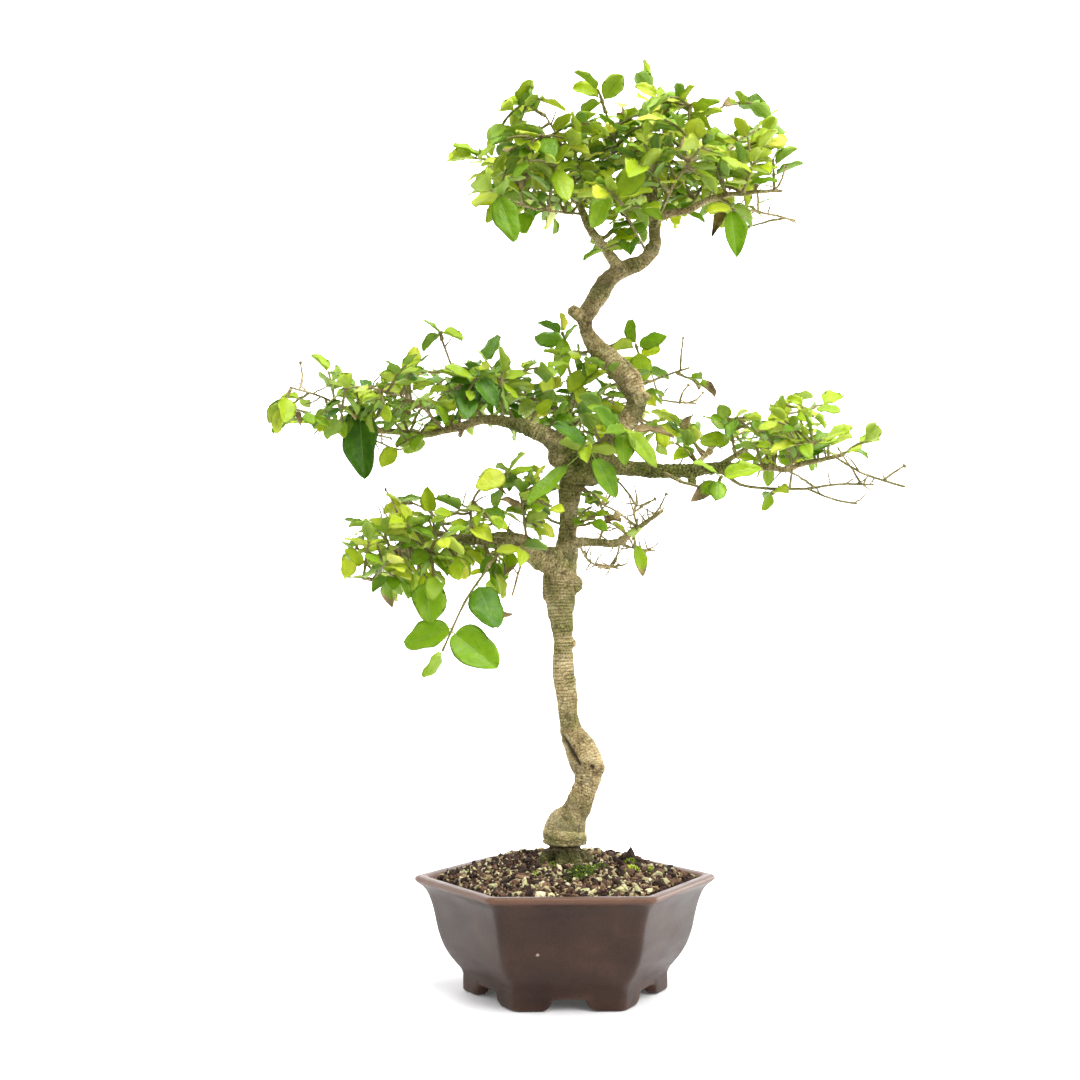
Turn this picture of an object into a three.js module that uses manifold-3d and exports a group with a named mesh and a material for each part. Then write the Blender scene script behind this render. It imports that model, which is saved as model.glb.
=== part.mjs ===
import * as THREE from 'three';
import Module from 'manifold-3d';

// California privet bonsai in a hexagonal pot. Millimetres, +Z up, pot standing on z = 0.

// Pot
const POT_RIM = 100; // centre to lip corner
const POT_FOOT = 67.4; // centre to foot corner
const FLOOR_UNDER = 9;
const FLOOR_TOP = 14;
const DRAIN_RADIUS = 10;
const SCREEN_SIDE = 40;
const SCREEN_THICK = 1;

// Gap kept between separate bodies
const GAP = 0.4;

// Soil
const SOIL_EDGE = 72.5;
const SOIL_RISE = 12;

// Leaves
const BLADE = 0.8; // blade thickness
const LEAF_GAP = 3.3; // distance kept between leaves
const STEM_RADIUS = 0.9;
const NODE_HALF = 0.7; // half the length of a stem's leaf node

// Where the whole plant and pot are shifted so that the middle of the whole is at the origin
const SHIFT_X = -3;
const SHIFT_Y = 1;

// Woody limbs: points along the middle of each, [x, y, z, radius] from the pot's middle axis
const LIMBS = {
  trunk: [
    [0, 0, 89, 10.4], [0, -1, 98, 13.4], [0, -2, 105, 14.8], [4, -3, 115, 11.4],
    [9, -3, 125, 9.4], [15, -1, 138, 8.8], [15, 2, 148, 10.8], [10, 4, 159, 10.5], [5, 6, 169, 8.2],
    [2, 6, 183, 6.7], [1, 4, 198, 6.8], [-1, 2, 215, 6.7], [-1, 0, 232, 6.5], [-3, -1, 249, 8.5],
    [-3, 0, 263, 10.9], [-3, 2, 276, 11.9], [1, 4, 292, 8.2], [2, 4, 311, 6.3], [3, 2, 328, 7.2],
    [6, 0, 343, 10.3], [17, -2, 354, 9.6], [27, -5, 363, 6.8], [36, -10, 374, 7.1], [45, -14, 385, 7.1],
    [48, -15, 395, 7.1], [43, -12, 408, 8.2], [33, -8, 420, 8.2], [23, -4, 431, 6.9], [16, -1, 442, 5.2],
    [14, 0, 452, 5.5], [18, 1, 461, 6.2], [25, 2, 473, 6.9], [31, 2, 481, 6.6], [41, 1, 488, 5.9],
    [54, -2, 493, 5.2], [62, -4, 502, 4.6], [62, -4, 514, 4.3], [61, -3, 526, 3.8], [61, -2, 538, 3.1],
    [63, 0, 554, 2.2], [68, 3, 573, 1.5], [73, 6, 589, 1],
  ],
  left_mid: [
    [6, -4, 345, 8.9], [-2, -10, 360, 8.1], [-11, -14, 368, 6.7], [-20, -16, 372, 5.7], [-34, -12, 378, 4.4],
    [-55, -4, 382, 3.4], [-70, 6, 379, 3.1], [-83, 14, 377, 2.8], [-100, 22, 375, 2.4], [-127, 30, 379, 2.1],
    [-142, 34, 377, 1.8], [-153, 36, 375, 1.4],
  ],
  left_shoot: [
    [-55, -4, 382, 1.4], [-65, -14, 394, 1], [-75, -22, 411, 0.8], [-83, -30, 431, 0.8],
  ],
  left_back: [
    [-34, -12, 378, 1.4], [-41, 6, 394, 1.2], [-50, 24, 406, 1.1], [-66, 42, 418, 0.9], [-88, 56, 426, 0.8],
  ],
  left_front: [
    [-83, 14, 377, 1], [-96, -2, 389, 0.9], [-112, -18, 396, 0.8], [-131, -30, 399, 0.8],
  ],
  left_outer: [
    [-127, 30, 379, 0.9], [-148, 14, 391, 0.8], [-167, 0, 398, 0.8], [-185, -12, 402, 0.8],
  ],
  left_bare: [
    [-153, 36, 375, 0.8], [-163, 38, 381, 0.8], [-172, 40, 385, 0.8],
  ],
  left_back_low: [
    [-100, 22, 375, 0.9], [-115, 40, 367, 0.8], [-135, 58, 376, 0.8],
  ],
  middle: [
    [17, -2, 354, 6.5], [9, 18, 364, 5.6], [6, 34, 379, 5], [2, 42, 394, 4.6], [7, 46, 401, 3.2], [25, 52, 404, 2.9],
    [40, 58, 403, 2.5],
  ],
  middle_left: [
    [2, 42, 394, 2.5], [-10, 52, 401, 2], [-24, 60, 406, 1.5],
  ],
  middle_up: [
    [7, 46, 401, 1.8], [8, 50, 416, 1.4], [4, 46, 432, 1.1], [4, 44, 440, 0.9],
  ],
  middle_right: [
    [25, 52, 404, 1.1], [49, 44, 411, 0.9], [70, 36, 419, 0.8], [90, 30, 425, 0.8],
  ],
  middle_bare: [
    [40, 58, 403, 0.9], [66, 66, 408, 0.8], [88, 72, 407, 0.8], [101, 76, 407, 0.8],
  ],
  right_mid: [
    [22, 0, 358, 6.2], [37, -8, 349, 5.8], [50, -14, 347, 5.1], [64, -20, 345, 4.7], [82, -26, 345, 4.3],
    [100, -32, 346, 4], [117, -38, 345, 3], [133, -44, 345, 2.3], [142, -48, 343, 2], [152, -54, 346, 1.8],
    [162, -60, 348, 1.6], [173, -66, 350, 1.3], 
  ],
  right_up: [
    [100, -32, 347, 2.3], [113, -26, 355, 2], [124, -18, 363, 1.7], [135, -10, 368, 1.4], [148, 0, 385, 1],
    [168, 8, 391, 0.8],
  ],
  right_back: [
    [82, -26, 345, 2], [96, -4, 358, 1.7], [111, 18, 372, 1.4], [131, 38, 380, 1.1], [153, 56, 388, 0.8],
  ],
  right_low: [
    [101, -33, 345, 1.9], [113, -42, 334, 1.1], [129, -46, 331, 1], [143, -52, 330, 1], [156, -56, 330, 0.9],
    [174, -62, 332, 0.8], [194, -70, 331, 0.8],
  ],
  right_low_bare: [
    [154, -56, 330, 0.8], [171, -50, 324, 0.8], [189, -46, 321, 0.8],
  ],
  right_end_bare: [
    [171, -66, 349, 0.8], [177, -70, 344, 0.8], [187, -80, 336, 0.8], [207, -95, 327, 0.8],
  ],
  right_front: [
    [64, -20, 345, 1.7], [73, -44, 336, 1.3], [84, -62, 330, 1], [92, -74, 326, 0.8],
  ],
  low_left: [
    [-6, -2, 286, 8.8], [-17, -6, 287, 8.1], [-28, -10, 297, 6.1], [-41, -8, 301, 4.4], [-61, -2, 300, 3.4],
    [-78, 6, 303, 2.7], [-96, 14, 308, 2.4], [-114, 22, 314, 2.1], [-131, 28, 316, 1.4],
  ],
  low_up: [
    [-61, -2, 300, 1.4], [-64, -12, 316, 1.1], [-59, -20, 331, 0.9], [-44, -26, 339, 0.8],
  ],
  low_up_back: [
    [-78, 6, 303, 1.1], [-93, 20, 321, 0.9], [-106, 30, 328, 0.8],
  ],
  low_hang: [
    [-41, -8, 300, 1.8], [-46, -15, 289, 1.3], [-51, -20, 283, 1.1],
  ],
  low_hang_short: [
    [-28, -10, 289, 0.8], [-32, -8, 276, 0.8], [-36, -6, 262, 0.8],
  ],
  low_back: [
    [-28, -10, 297, 1.7], [-40, 12, 309, 1.4], [-55, 32, 320, 1.1], [-73, 50, 329, 0.9], [-94, 64, 335, 0.8],
  ],
  low_front: [
    [-96, 14, 308, 0.9], [-109, 0, 296, 0.8], [-121, -14, 282, 0.8], [-129, -22, 272, 0.8],
  ],
  low_right: [
    [-1, 0, 293, 6.8], [9, -4, 298, 4.1], [22, -8, 298, 3], [35, -14, 297, 2.7], [48, -20, 307, 2],
    [64, -26, 318, 1.3],
  ],
  low_right_up: [
    [22, -8, 298, 1], [28, 4, 314, 0.8], [24, 14, 329, 0.8],
  ],
  low_right_front: [
    [35, -14, 297, 0.9], [46, -22, 293, 0.8], [58, -30, 291, 0.8],
  ],
  low_right_tip: [
    [48, -20, 307, 0.8], [46, -14, 317, 0.8], [48, -8, 325, 0.8],
  ],
  low_right_back: [
    [9, -4, 298, 1], [17, 16, 287, 0.8], [29, 30, 283, 0.8], [43, 42, 285, 0.8],
  ],
  crown_left: [
    [37, 1, 490, 4.5], [27, -4, 502, 3.4], [18, -6, 513, 3.1], [13, -4, 525, 2.8], [9, 0, 535, 2.4],
    [1, 8, 546, 2.3], [-10, 16, 553, 2.1], [-25, 22, 561, 1.8], [-39, 26, 568, 1.4],
  ],
  crown_left_up: [
    [9, 0, 535, 1], [5, -10, 554, 0.9], [-4, -18, 572, 0.8], [-14, -24, 587, 0.8],
  ],
  crown_left_front: [
    [13, -4, 525, 1], [-4, -22, 521, 0.9], [-21, -36, 519, 0.8], [-37, -46, 520, 0.8],
  ],
  crown_right: [
    [61, -4, 521, 3.8], [72, -8, 525, 3.1], [85, -10, 527, 2.7], [99, -12, 534, 2.4], [111, -16, 536, 1.9],
    [120, -18, 536, 1.7], [133, -20, 537, 1.4], [147, -22, 537, 1],
  ],
  crown_right_up: [
    [85, -10, 527, 1], [99, 2, 552, 1], [114, 14, 574, 0.8], [129, 22, 591, 0.8],
  ],
  crown_right_low: [
    [99, -12, 534, 0.9], [121, -4, 530, 0.8], [143, 2, 528, 0.8], [162, 6, 525, 0.8],
  ],
  crown_back: [
    [61, -3, 526, 1.4], [59, 22, 551, 1.2], [57, 42, 576, 1], [52, 56, 599, 0.8],
  ],
  crown_front: [
    [62, -4, 514, 1.2], [66, -28, 525, 1], [72, -46, 536, 0.9], [80, -58, 546, 0.8],
  ],
  crown_inner: [
    [57, -4, 498, 1], [51, -14, 504, 0.9], [45, -24, 511, 0.8], [37, -34, 523, 0.8],
  ],
  crown_top_left: [
    [61, -2, 538, 1], [46, -6, 556, 0.9], [34, -10, 576, 0.8], [28, -12, 594, 0.8],
  ],
  crown_top_right: [
    [63, 0, 554, 0.8], [80, -6, 574, 0.8], [96, -12, 590, 0.8], [110, -16, 599, 0.8],
  ],
  crown_back_right: [
    [59, 22, 551, 0.9], [81, 42, 571, 0.8], [106, 58, 585, 0.8],
  ],
  crown_back_left: [
    [57, 42, 576, 0.8], [29, 56, 588, 0.8], [0, 66, 595, 0.8],
  ],
};

// Swellings of old wood: [x, y, z, radius]
const KNOBS = [
  [20, -3, 146, 7], [5, -1, 230, 4.6], [10, -1, 269, 7], [-9, 2, 262, 6.5], [-7, 1, 283, 9],
  [17, -6, 348, 12], [-2, -8, 357, 10], [37, -7, 374, 6], [60, -4, 500, 6],
];

// Short dead stubs with a cut end
const STUBS = [
  [[14, 0, 452, 5], [4, -2, 459, 4.2]],
  [[48, -15, 393, 4], [55, -22, 396, 3]],
  [[-70, 6, 379, 2.4], [-72, 2, 371, 1.8]],
  [[82, -26, 345, 3], [84, -30, 335, 2.2]],
];

// Bare twigs by rule: [limb, how many, where they begin]
const BARE = [
  ['low_right', 4, 0.4], ['low_right_up', 1, 0.4], ['low_right_tip', 2, 0.3], ['low_right_front', 1, 0.4],
  ['low_right_back', 2, 0.3], ['middle_right', 2, 0.4], ['middle_bare', 3, 0.3], ['right_mid', 2, 0.5],
  ['right_low', 3, 0.4], ['right_end_bare', 1, 0.5], ['left_outer', 1, 0.8], ['left_mid', 1, 0.7],
  ['crown_right', 2, 0.6], ['crown_right_low', 2, 0.4], ['low_left', 1, 0.4],
];

// Leafy sprays: [name, limb, where on it, tip x, y, z, leaf pairs, leaf length]
const SPRAYS = [
  ['crown_west', 'crown_left', 1, -68, 32, 576, 3, 20],
  ['crown_west_up', 'crown_left_up', 1, -30, -32, 593, 3, 20],
  ['crown_west_mid', 'crown_left_up', 0.6, -22, -52, 563, 3, 20],
  ['crown_west_low', 'crown_left_front', 1, -51, -54, 526, 2, 22],
  ['crown_west_front', 'crown_left_front', 0.5, -8, -50, 544, 3, 21],
  ['crown_top_left', 'crown_top_left', 1, 22, -20, 607, 3, 20],
  ['crown_top_right', 'crown_top_right', 1, 127, -24, 597, 3, 19],
  ['crown_top_front', 'crown_top_right', 0.5, 82, -44, 588, 3, 20],
  ['crown_tip', 'trunk', 1, 58, 14, 624, 3, 19],
  ['crown_east_up', 'crown_right_up', 1, 147, 26, 598, 3, 19],
  ['crown_east_mid', 'crown_right_up', 0.55, 124, -14, 569, 3, 20],
  ['crown_east_low', 'crown_right', 0.72, 123, -44, 544, 3, 19],
  ['crown_east_hang', 'crown_right', 0.5, 112, -26, 525, 1, 20],
  ['crown_back', 'crown_back', 1, 47, 74, 630, 3, 20],
  ['crown_back_right', 'crown_back_right', 1, 133, 68, 604, 3, 20],
  ['crown_back_left', 'crown_back_left', 1, -24, 76, 605, 3, 20],
  ['crown_front', 'crown_front', 1, 87, -78, 548, 3, 21],
  ['crown_front_mid', 'crown_front', 0.5, 46, -66, 539, 3, 21],
  ['crown_inner', 'crown_inner', 1, 25, -56, 526, 3, 21],
  ['crown_inner_low', 'crown_inner', 0.3, 25, -26, 494, 1, 18],
  ['left_far', 'left_outer', 1, -191, -16, 387, 3, 17],
  ['left_far_up', 'left_outer', 0.5, -163, 10, 417, 3, 18],
  ['left_front', 'left_front', 1, -146, -40, 396, 3, 18],
  ['left_shoot', 'left_shoot', 1, -84, -32, 436, 1, 16],
  ['left_shoot_low', 'left_shoot', 0.4, -59, -40, 404, 3, 19],
  ['left_back', 'left_back', 1, -104, 66, 426, 3, 19],
  ['left_back_mid', 'left_back', 0.5, -54, 38, 430, 3, 19],
  ['left_back_low', 'left_back_low', 1, -149, 66, 386, 3, 18],
  ['left_tip', 'left_outer', 0.3, -141, 3, 397, 1, 20],
  ['left_under', 'left_mid', 0.62, -115, 2, 364, 2, 18],
  ['left_inner', 'left_mid', 0.4, -43, -34, 409, 3, 19],
  ['middle_up', 'middle_up', 1, -0, 40, 452, 3, 19],
  ['middle_left', 'middle_left', 1, -39, 68, 417, 3, 19],
  ['middle_right', 'middle_right', 0.5, 53, 42, 444, 3, 19],
  ['middle_right_tip', 'middle_right', 0.85, 97, 28, 412, 1, 17],
  ['front_shoot', 'trunk', 0.512, 39, -48, 369, 1, 20],
  ['fork_shoot', 'trunk', 0.488, 13, -40, 359, 1, 20],
  ['right_tip', 'right_mid', 1, 190, -80, 358, 3, 16],
  ['right_outer', 'right_mid', 0.72, 160, -76, 359, 3, 18],
  ['right_up', 'right_up', 1, 181, 14, 396, 2, 16],
  ['right_up_mid', 'right_up', 0.55, 150, -14, 392, 3, 17],
  ['right_inner', 'right_up', 0.2, 106, -40, 378, 3, 18],
  ['right_back', 'right_back', 1, 176, 66, 385, 3, 18],
  ['right_front', 'right_front', 1, 95, -82, 335, 1, 20],
  ['right_under', 'right_low', 0.45, 132, -52, 327, 1, 14],
  ['low_up', 'low_up', 1, -39, -30, 343, 3, 18],
  ['low_up_left', 'low_up_back', 1, -115, 36, 328, 2, 17],
  ['low_tip', 'low_left', 1, -145, 30, 296, 3, 18],
  ['low_back', 'low_back', 1, -110, 72, 334, 3, 18],
  ['low_front', 'low_front', 1, -136, -28, 273, 2, 17],
  ['low_mid', 'low_left', 0.62, -92, -14, 291, 3, 18],
  ['low_inner', 'low_left', 0.22, -31, -26, 329, 3, 18],
  ['low_hang_tip', 'low_hang', 1, -82, -22, 225, 0, 20],
  ['low_front_hang', 'low_front', 0.4, -92, -22, 272, 0, 20],
  ['low_right_leaf', 'low_right_front', 0.5, 44, -34, 299, 0, 16],
];

// Large leaves one by one: [spray, where on its stem, tip x, y, z, width, upper side towards x, y, z]
const BIG_LEAVES = [
  ['low_hang_tip', 0.8, -46, -34, 214, 27, 0.1, -1, 0.25],
  ['low_hang_tip', 0.76, -108, -14, 229, 20, -0.1, -1, 0.3],
  ['low_hang_tip', 0.2, -47, -38, 242, 23, 0.15, -1, 0.2],
  ['low_hang_tip', 0.5, -37, -20, 245, 10, 0.5, -0.6, -0.6],
  ['low_front_hang', 1, -90, -27, 244, 24, 0.1, -1, 0.1],
  ['left_tip', 0.6, -137, 4, 342, 24, 0, -1, 0.1],
  ['left_shoot_low', 0.5, -67, -50, 376, 17, 0, -1, 0.5],
  ['left_shoot_low', 0.85, -46, -48, 386, 16, 0.2, -1, 0.5],
  ['fork_shoot', 0.8, 31, -52, 325, 15, 0.2, -1, 0.2],
  ['fork_shoot', 0.6, -27, -46, 322, 12, -0.3, -1, 0.4],
  ['fork_shoot', 0.95, -8, -48, 374, 15, 0, -0.8, 0.7],
  ['crown_west_low', 0.6, -35, -60, 492, 18, 0, -1, 0.1],
  ['crown_east_hang', 0.9, 114, -36, 488, 16, 0.1, -1, 0.1],
  ['crown_east_hang', 0.5, 99, -24, 506, 9, 0, -1, 0.2],
  ['crown_inner', 0.8, 15, -60, 500, 15, 0, -1, 0.2],
  ['crown_west_front', 0.95, -1, -66, 518, 15, 0, -1, 0.3],
  ['low_right_leaf', 0.9, 50, -38, 274, 10, 0.2, -1, 0],
  ['front_shoot', 0.6, 18, -50, 383, 15, 0, -1, 0.5],
  ['front_shoot', 0.8, 36, -56, 347, 15, 0, -1, 0.3],
  ['front_shoot', 0.95, 58, -52, 345, 14, 0.2, -1, 0.3],
  ['front_shoot', 0.4, 68, -40, 374, 12, 0.1, -0.6, 0.8],
  ['middle_right_tip', 0.9, 108, 22, 406, 10, 0, -0.6, 0.8],
  ['middle_up', 0.8, -1, 34, 420, 13, 0, -1, 0.3],
  ['middle_right', 0.8, 58, 28, 416, 17, 0, -1, 0.4],
  ['right_front', 0.8, 118, -90, 341, 14, 0, -0.8, 0.6],
  ['right_front', 0.5, 91, -92, 320, 12, 0, -1, 0.4],
  ['right_front', 0.4, 76, -82, 320, 11, 0, -1, 0.2],
];

const wasm = await Module();
wasm.setup();

// Small vector helpers
const add = (a, b) => [a[0] + b[0], a[1] + b[1], a[2] + b[2]];
const sub = (a, b) => [a[0] - b[0], a[1] - b[1], a[2] - b[2]];
const scale = (a, k) => [a[0] * k, a[1] * k, a[2] * k];
const dot = (a, b) => a[0] * b[0] + a[1] * b[1] + a[2] * b[2];
const cross = (a, b) => [a[1] * b[2] - a[2] * b[1], a[2] * b[0] - a[0] * b[2], a[0] * b[1] - a[1] * b[0]];
const size = (a) => Math.sqrt(dot(a, a));
const unit = (a) => scale(a, 1 / size(a));
const mix = (a, b, t) => add(scale(a, 1 - t), scale(b, t));

// Repeatable draws
function draws(seed) {
  let state = seed;
  return () => {
    state = (state + 0x6d2b79f5) | 0;
    let t = Math.imul(state ^ (state >>> 15), 1 | state);
    t = (t + Math.imul(t ^ (t >>> 7), 61 | t)) ^ t;
    return ((t ^ (t >>> 14)) >>> 0) / 4294967296;
  };
}

// Solids from points and triangles
function solid(points, triangles) {
  const mesh = new wasm.Mesh({
    numProp: 3,
    vertProperties: new Float32Array(points.flat()),
    triVerts: new Uint32Array(triangles.flat()),
  });
  return new wasm.Manifold(mesh);
}

function loft(rings, closed) {
  const n = rings[0].length;
  const points = rings.flat();
  const triangles = [];
  const turns = closed ? rings.length : rings.length - 1;
  for (let i = 0; i < turns; i += 1) {
    const low = i * n;
    const high = ((i + 1) % rings.length) * n;
    for (let j = 0; j < n; j += 1) {
      const k = (j + 1) % n;
      triangles.push([low + j, low + k, high + k]);
      triangles.push([low + j, high + k, high + j]);
    }
  }
  if (!closed) {
    const last = (rings.length - 1) * n;
    for (let j = 1; j < n - 1; j += 1) {
      triangles.push([0, j + 1, j]);
      triangles.push([last, last + j, last + j + 1]);
    }
  }
  return solid(points, triangles);
}

function joined(parts) {
  return wasm.Manifold.union(parts);
}

// Round bars that follow a path of [x, y, z, radius]
function crossings(path, sides) {
  const rings = [];
  let side = null;
  for (let i = 0; i < path.length; i += 1) {
    const before = path[Math.max(i - 1, 0)];
    const after = path[Math.min(i + 1, path.length - 1)];
    const along = unit(sub(after, before));
    const lean = side ?? (Math.abs(along[2]) < 0.9 ? [0, 0, 1] : [1, 0, 0]);
    side = unit(sub(lean, scale(along, dot(lean, along))));
    const other = cross(along, side);
    const ring = [];
    for (let j = 0; j < sides; j += 1) {
      const turn = (2 * Math.PI * j) / sides;
      const reach = add(scale(side, Math.cos(turn)), scale(other, Math.sin(turn)));
      ring.push(add(path[i], scale(reach, path[i][3])));
    }
    rings.push(ring);
  }
  return rings;
}

const bar = (path, sides) => loft(crossings(path, sides), false);

function knot(centre, radius, draw) {
  const path = [-0.85, 0, 0.85].map((k) => [
    centre[0] + (draw() - 0.5) * radius * 0.3,
    centre[1] + (draw() - 0.5) * radius * 0.3,
    centre[2] + k * radius,
    radius * Math.sqrt(1 - 0.9 * k * k),
  ]);
  return bar(path, 5);
}

// Hexagonal rings with eased corners, corners to the left and right
function hexRing(corner, height, easing, perSide) {
  const ring = [];
  for (let c = 0; c < 6; c += 1) {
    const here = (c * Math.PI) / 3;
    const next = ((c + 1) * Math.PI) / 3;
    const reach = corner + easing * 0.45;
    const a = [Math.cos(here) * reach, Math.sin(here) * reach, height];
    const b = [Math.cos(next) * reach, Math.sin(next) * reach, height];
    const pull = easing / reach;
    const tip = scale(a, corner / reach);
    ring.push([tip[0], tip[1], height]);
    for (let k = 0; k < perSide; k += 1) {
      ring.push(mix(a, b, pull + ((1 - 2 * pull) * k) / (perSide - 1)));
    }
  }
  return ring;
}

// The pot: wall and lip, then the foot, its arches and the drain hole
const OUTSIDE = [
  [57, FLOOR_UNDER], [59, 1], [60.5, 0], [66.4, 0], [POT_FOOT, 1.2], [67.4, 11], [68.8, 14.2],
  [72, 17.8], [75.6, 22], [79.2, 27.2], [82, 33], [84.4, 40], [86.2, 48], [87.8, 54.5],
  [90, 61], [92.4, 65.6], [96, 69.2], [98.9, 71.2], [POT_RIM, 73], [99.2, 74.5], [97.2, 75.2],
];
const INSIDE = [
  [93.4, 75], [91, 73.8], [89.4, 71], [86, 64], [82, 53], [78.8, 39],
  [74.6, 28], [67, 18.5], [60, FLOOR_TOP],
];

function potSolid() {
  const rings = [...OUTSIDE, ...INSIDE].map(([corner, height]) => hexRing(corner, height, 5, 2));
  let pot = loft(rings, false);
  const half = [[-17, -2], [-16, 0.4], [-13, 2.4], [-12.4, 5], [-10.4, 6.8], [-6, 7.4]];
  const outline = [...half, ...half.map(([s, z]) => [-s, z]).reverse()];
  for (let side = 0; side < 6; side += 1) {
    const turn = Math.PI / 6 + (side * Math.PI) / 3;
    const out = [Math.cos(turn), Math.sin(turn), 0];
    const across = [-out[1], out[0], 0];
    const place = (reach) => outline.map(([s, z]) => add(add(scale(out, reach), scale(across, s)), [0, 0, z]));
    pot = pot.subtract(loft([place(66), place(44)], false));
  }
  const drain = bar([[0, 0, 5, DRAIN_RADIUS], [0, 0, 20, DRAIN_RADIUS]], 16);
  return pot.subtract(drain);
}

// The plastic mesh over the drain hole
function block(x, y, z, wide, deep, high) {
  const ring = (h) => [[x, y, h], [x + wide, y, h], [x + wide, y + deep, h], [x, y + deep, h]];
  return loft([ring(z), ring(z + high)], false);
}

function screenSolid() {
  const start = -SCREEN_SIDE / 2;
  let screen = block(start, start, FLOOR_TOP + GAP, SCREEN_SIDE, SCREEN_SIDE, SCREEN_THICK);
  for (let i = 0; i < 4; i += 1) {
    for (let j = 0; j < 4; j += 1) {
      const x = start + 3.5 + i * 9;
      const y = start + 3.5 + j * 9;
      screen = screen.subtract(block(x, y, FLOOR_TOP, 6, 6, 3));
    }
  }
  return screen;
}

// Roots: flared legs under the bulb, each going down into the soil
const ROOT_TURNS = [255, 300, 345, 35, 90, 145, 200];
const ROOT_REACH = [17, 19, 23, 20, 18, 20, 22];

function rootPaths(extra) {
  const paths = [[[0, -1, 99, 8 + extra], [0, -1, 70 - extra, 7 + extra]]];
  ROOT_TURNS.forEach((degrees, i) => {
    const turn = (degrees * Math.PI) / 180;
    const dx = Math.cos(turn);
    const dy = Math.sin(turn);
    const reach = ROOT_REACH[i];
    paths.push([
      [dx * 5, dy * 5 - 1, 97, 5.4 + extra],
      [dx * reach * 0.5, dy * reach * 0.5 - 1, 90, 4.8 + extra],
      [dx * reach * 0.85, dy * reach * 0.85 - 1, 83, 4 + extra],
      [dx * (reach + extra * 0.4), dy * (reach + extra * 0.4) - 1, 73 - extra, 3 + extra],
    ]);
  });
  return paths;
}

// Soil and grit
function soilHeight(x, y, share) {
  return SOIL_EDGE + SOIL_RISE * (1 - share * share) * (1 + 0.008 * y);
}

function soilSolid() {
  const draw = draws(11);
  const walls = INSIDE.slice(3).reverse();
  const rings = walls.map(([corner, height]) => hexRing(corner - GAP * 1.3, height + GAP, 5, 4));
  const top = hexRing(89.9 - GAP * 1.3, SOIL_EDGE, 5, 4);
  const turns = [1, 0.93, 0.85, 0.76, 0.66, 0.55, 0.44, 0.33, 0.22];
  for (const share of turns) {
    rings.push(top.map(([x, y]) => {
      const bump = share === 1 ? 0 : (draw() - 0.5) * 2.6;
      return [x * share, y * share, soilHeight(x * share, y * share, share) + bump];
    }));
  }
  let soil = loft(rings, false);
  const stones = [];
  while (stones.length < 24) {
    const turn = draw() * 2 * Math.PI;
    const far = 22 + 56 * Math.sqrt(draw());
    const radius = 1.9 + 1.5 * draw();
    const x = Math.cos(turn) * far;
    const y = Math.sin(turn) * far;
    const share = Math.max(Math.abs(y), Math.abs(x) * 0.866 + Math.abs(y) * 0.5) / 77.4;
    if (share < 0.93) {
      const z = soilHeight(x, y, share) + radius * 0.25;
      stones.push(bar([[x, y, z - 2, radius], [x + 0.5, y, z + radius * 0.6, radius * 0.6]], 5));
    }
  }
  soil = joined([soil, ...stones]);
  const pocket = SCREEN_SIDE / 2 + 0.5;
  const holes = rootPaths(GAP).map((path) => bar(path, 6));
  holes.push(block(-pocket, -pocket, 5, 2 * pocket, 2 * pocket, FLOOR_TOP + SCREEN_THICK + 1 - 5));
  return soil.subtract(joined(holes));
}

// Wood: trunk, limbs, knobs, dead stubs, short bare twigs and berries
function pointAt(limb, t) {
  const path = LIMBS[limb];
  const place = Math.min(t * (path.length - 1), path.length - 1.0001);
  const i = Math.floor(place);
  const a = path[i];
  const b = path[i + 1];
  const k = place - i;
  return [...mix(a, b, k), a[3] + (b[3] - a[3]) * k];
}

// Each spray's woody spur and green stem
function sprayRoute([name, limb, t, x, y, z, pairs, length]) {
  const from = pointAt(limb, t);
  const tip = [x, y, z];
  const way = unit(sub(tip, from));
  const spur = t === 1 ? 4 : from[3] + 4;
  const start = add(from, scale(way, spur + GAP));
  const bow = size(sub(tip, start)) * 0.08;
  const side = Math.abs(way[2]) > 0.97 ? [1, 0, 0] : unit(cross(way, [0, 0, 1]));
  const middle = add(mix(start, tip, 0.5), [0, 0, bow]);
  const near = add(start, scale(way, 2));
  const stem = [start, near, middle, tip];
  return { name, limb, atEnd: t === 1, pairs, length, from, way, side, spur, stem };
}

const ROUTES = SPRAYS.map(sprayRoute);

function onStem(route, t) {
  const i = t < 0.5 ? 1 : 2;
  const a = route.stem[i];
  const b = route.stem[i + 1];
  return { point: mix(a, b, t * 2 - i + 1), way: unit(sub(b, a)) };
}

function stemLength(route) {
  return size(sub(route.stem[2], route.stem[1])) + size(sub(route.stem[3], route.stem[2]));
}

function spanGap(p, a, b) {
  const along = sub(b, a);
  const k = Math.min(Math.max(dot(sub(p, a), along) / dot(along, along), 0), 1);
  return size(sub(p, add(a, scale(along, k))));
}

function bareTwigs() {
  const draw = draws(23);
  const twigs = [];
  for (const [limb, count, low] of BARE) {
    for (let i = 0; i < count; i += 1) {
      const from = pointAt(limb, low + (1 - low) * ((i + 0.3 + 0.5 * draw()) / count));
      const way = unit([draw() - 0.5, draw() - 0.5, 0.9 * draw() - 0.25]);
      const length = 11 + 15 * draw();
      const bend = [draw() - 0.5, draw() - 0.5, draw() - 0.3];
      const half = add(from, scale(way, from[3] + length * 0.5));
      const end = add(add(half, scale(way, length * 0.5)), scale(bend, length * 0.35));
      const clear = ROUTES.every((route) => [half, end, mix(half, end, 0.5)].every(
        (p) => Math.min(spanGap(p, route.stem[0], route.stem[2]), spanGap(p, route.stem[2], route.stem[3])) > 3,
      ));
      if (clear) {
        twigs.push([[...from.slice(0, 3), 0.9], [...half, 0.8], [...end, 0.6]]);
      }
    }
  }
  return twigs;
}

const TWIGS = bareTwigs();

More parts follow.
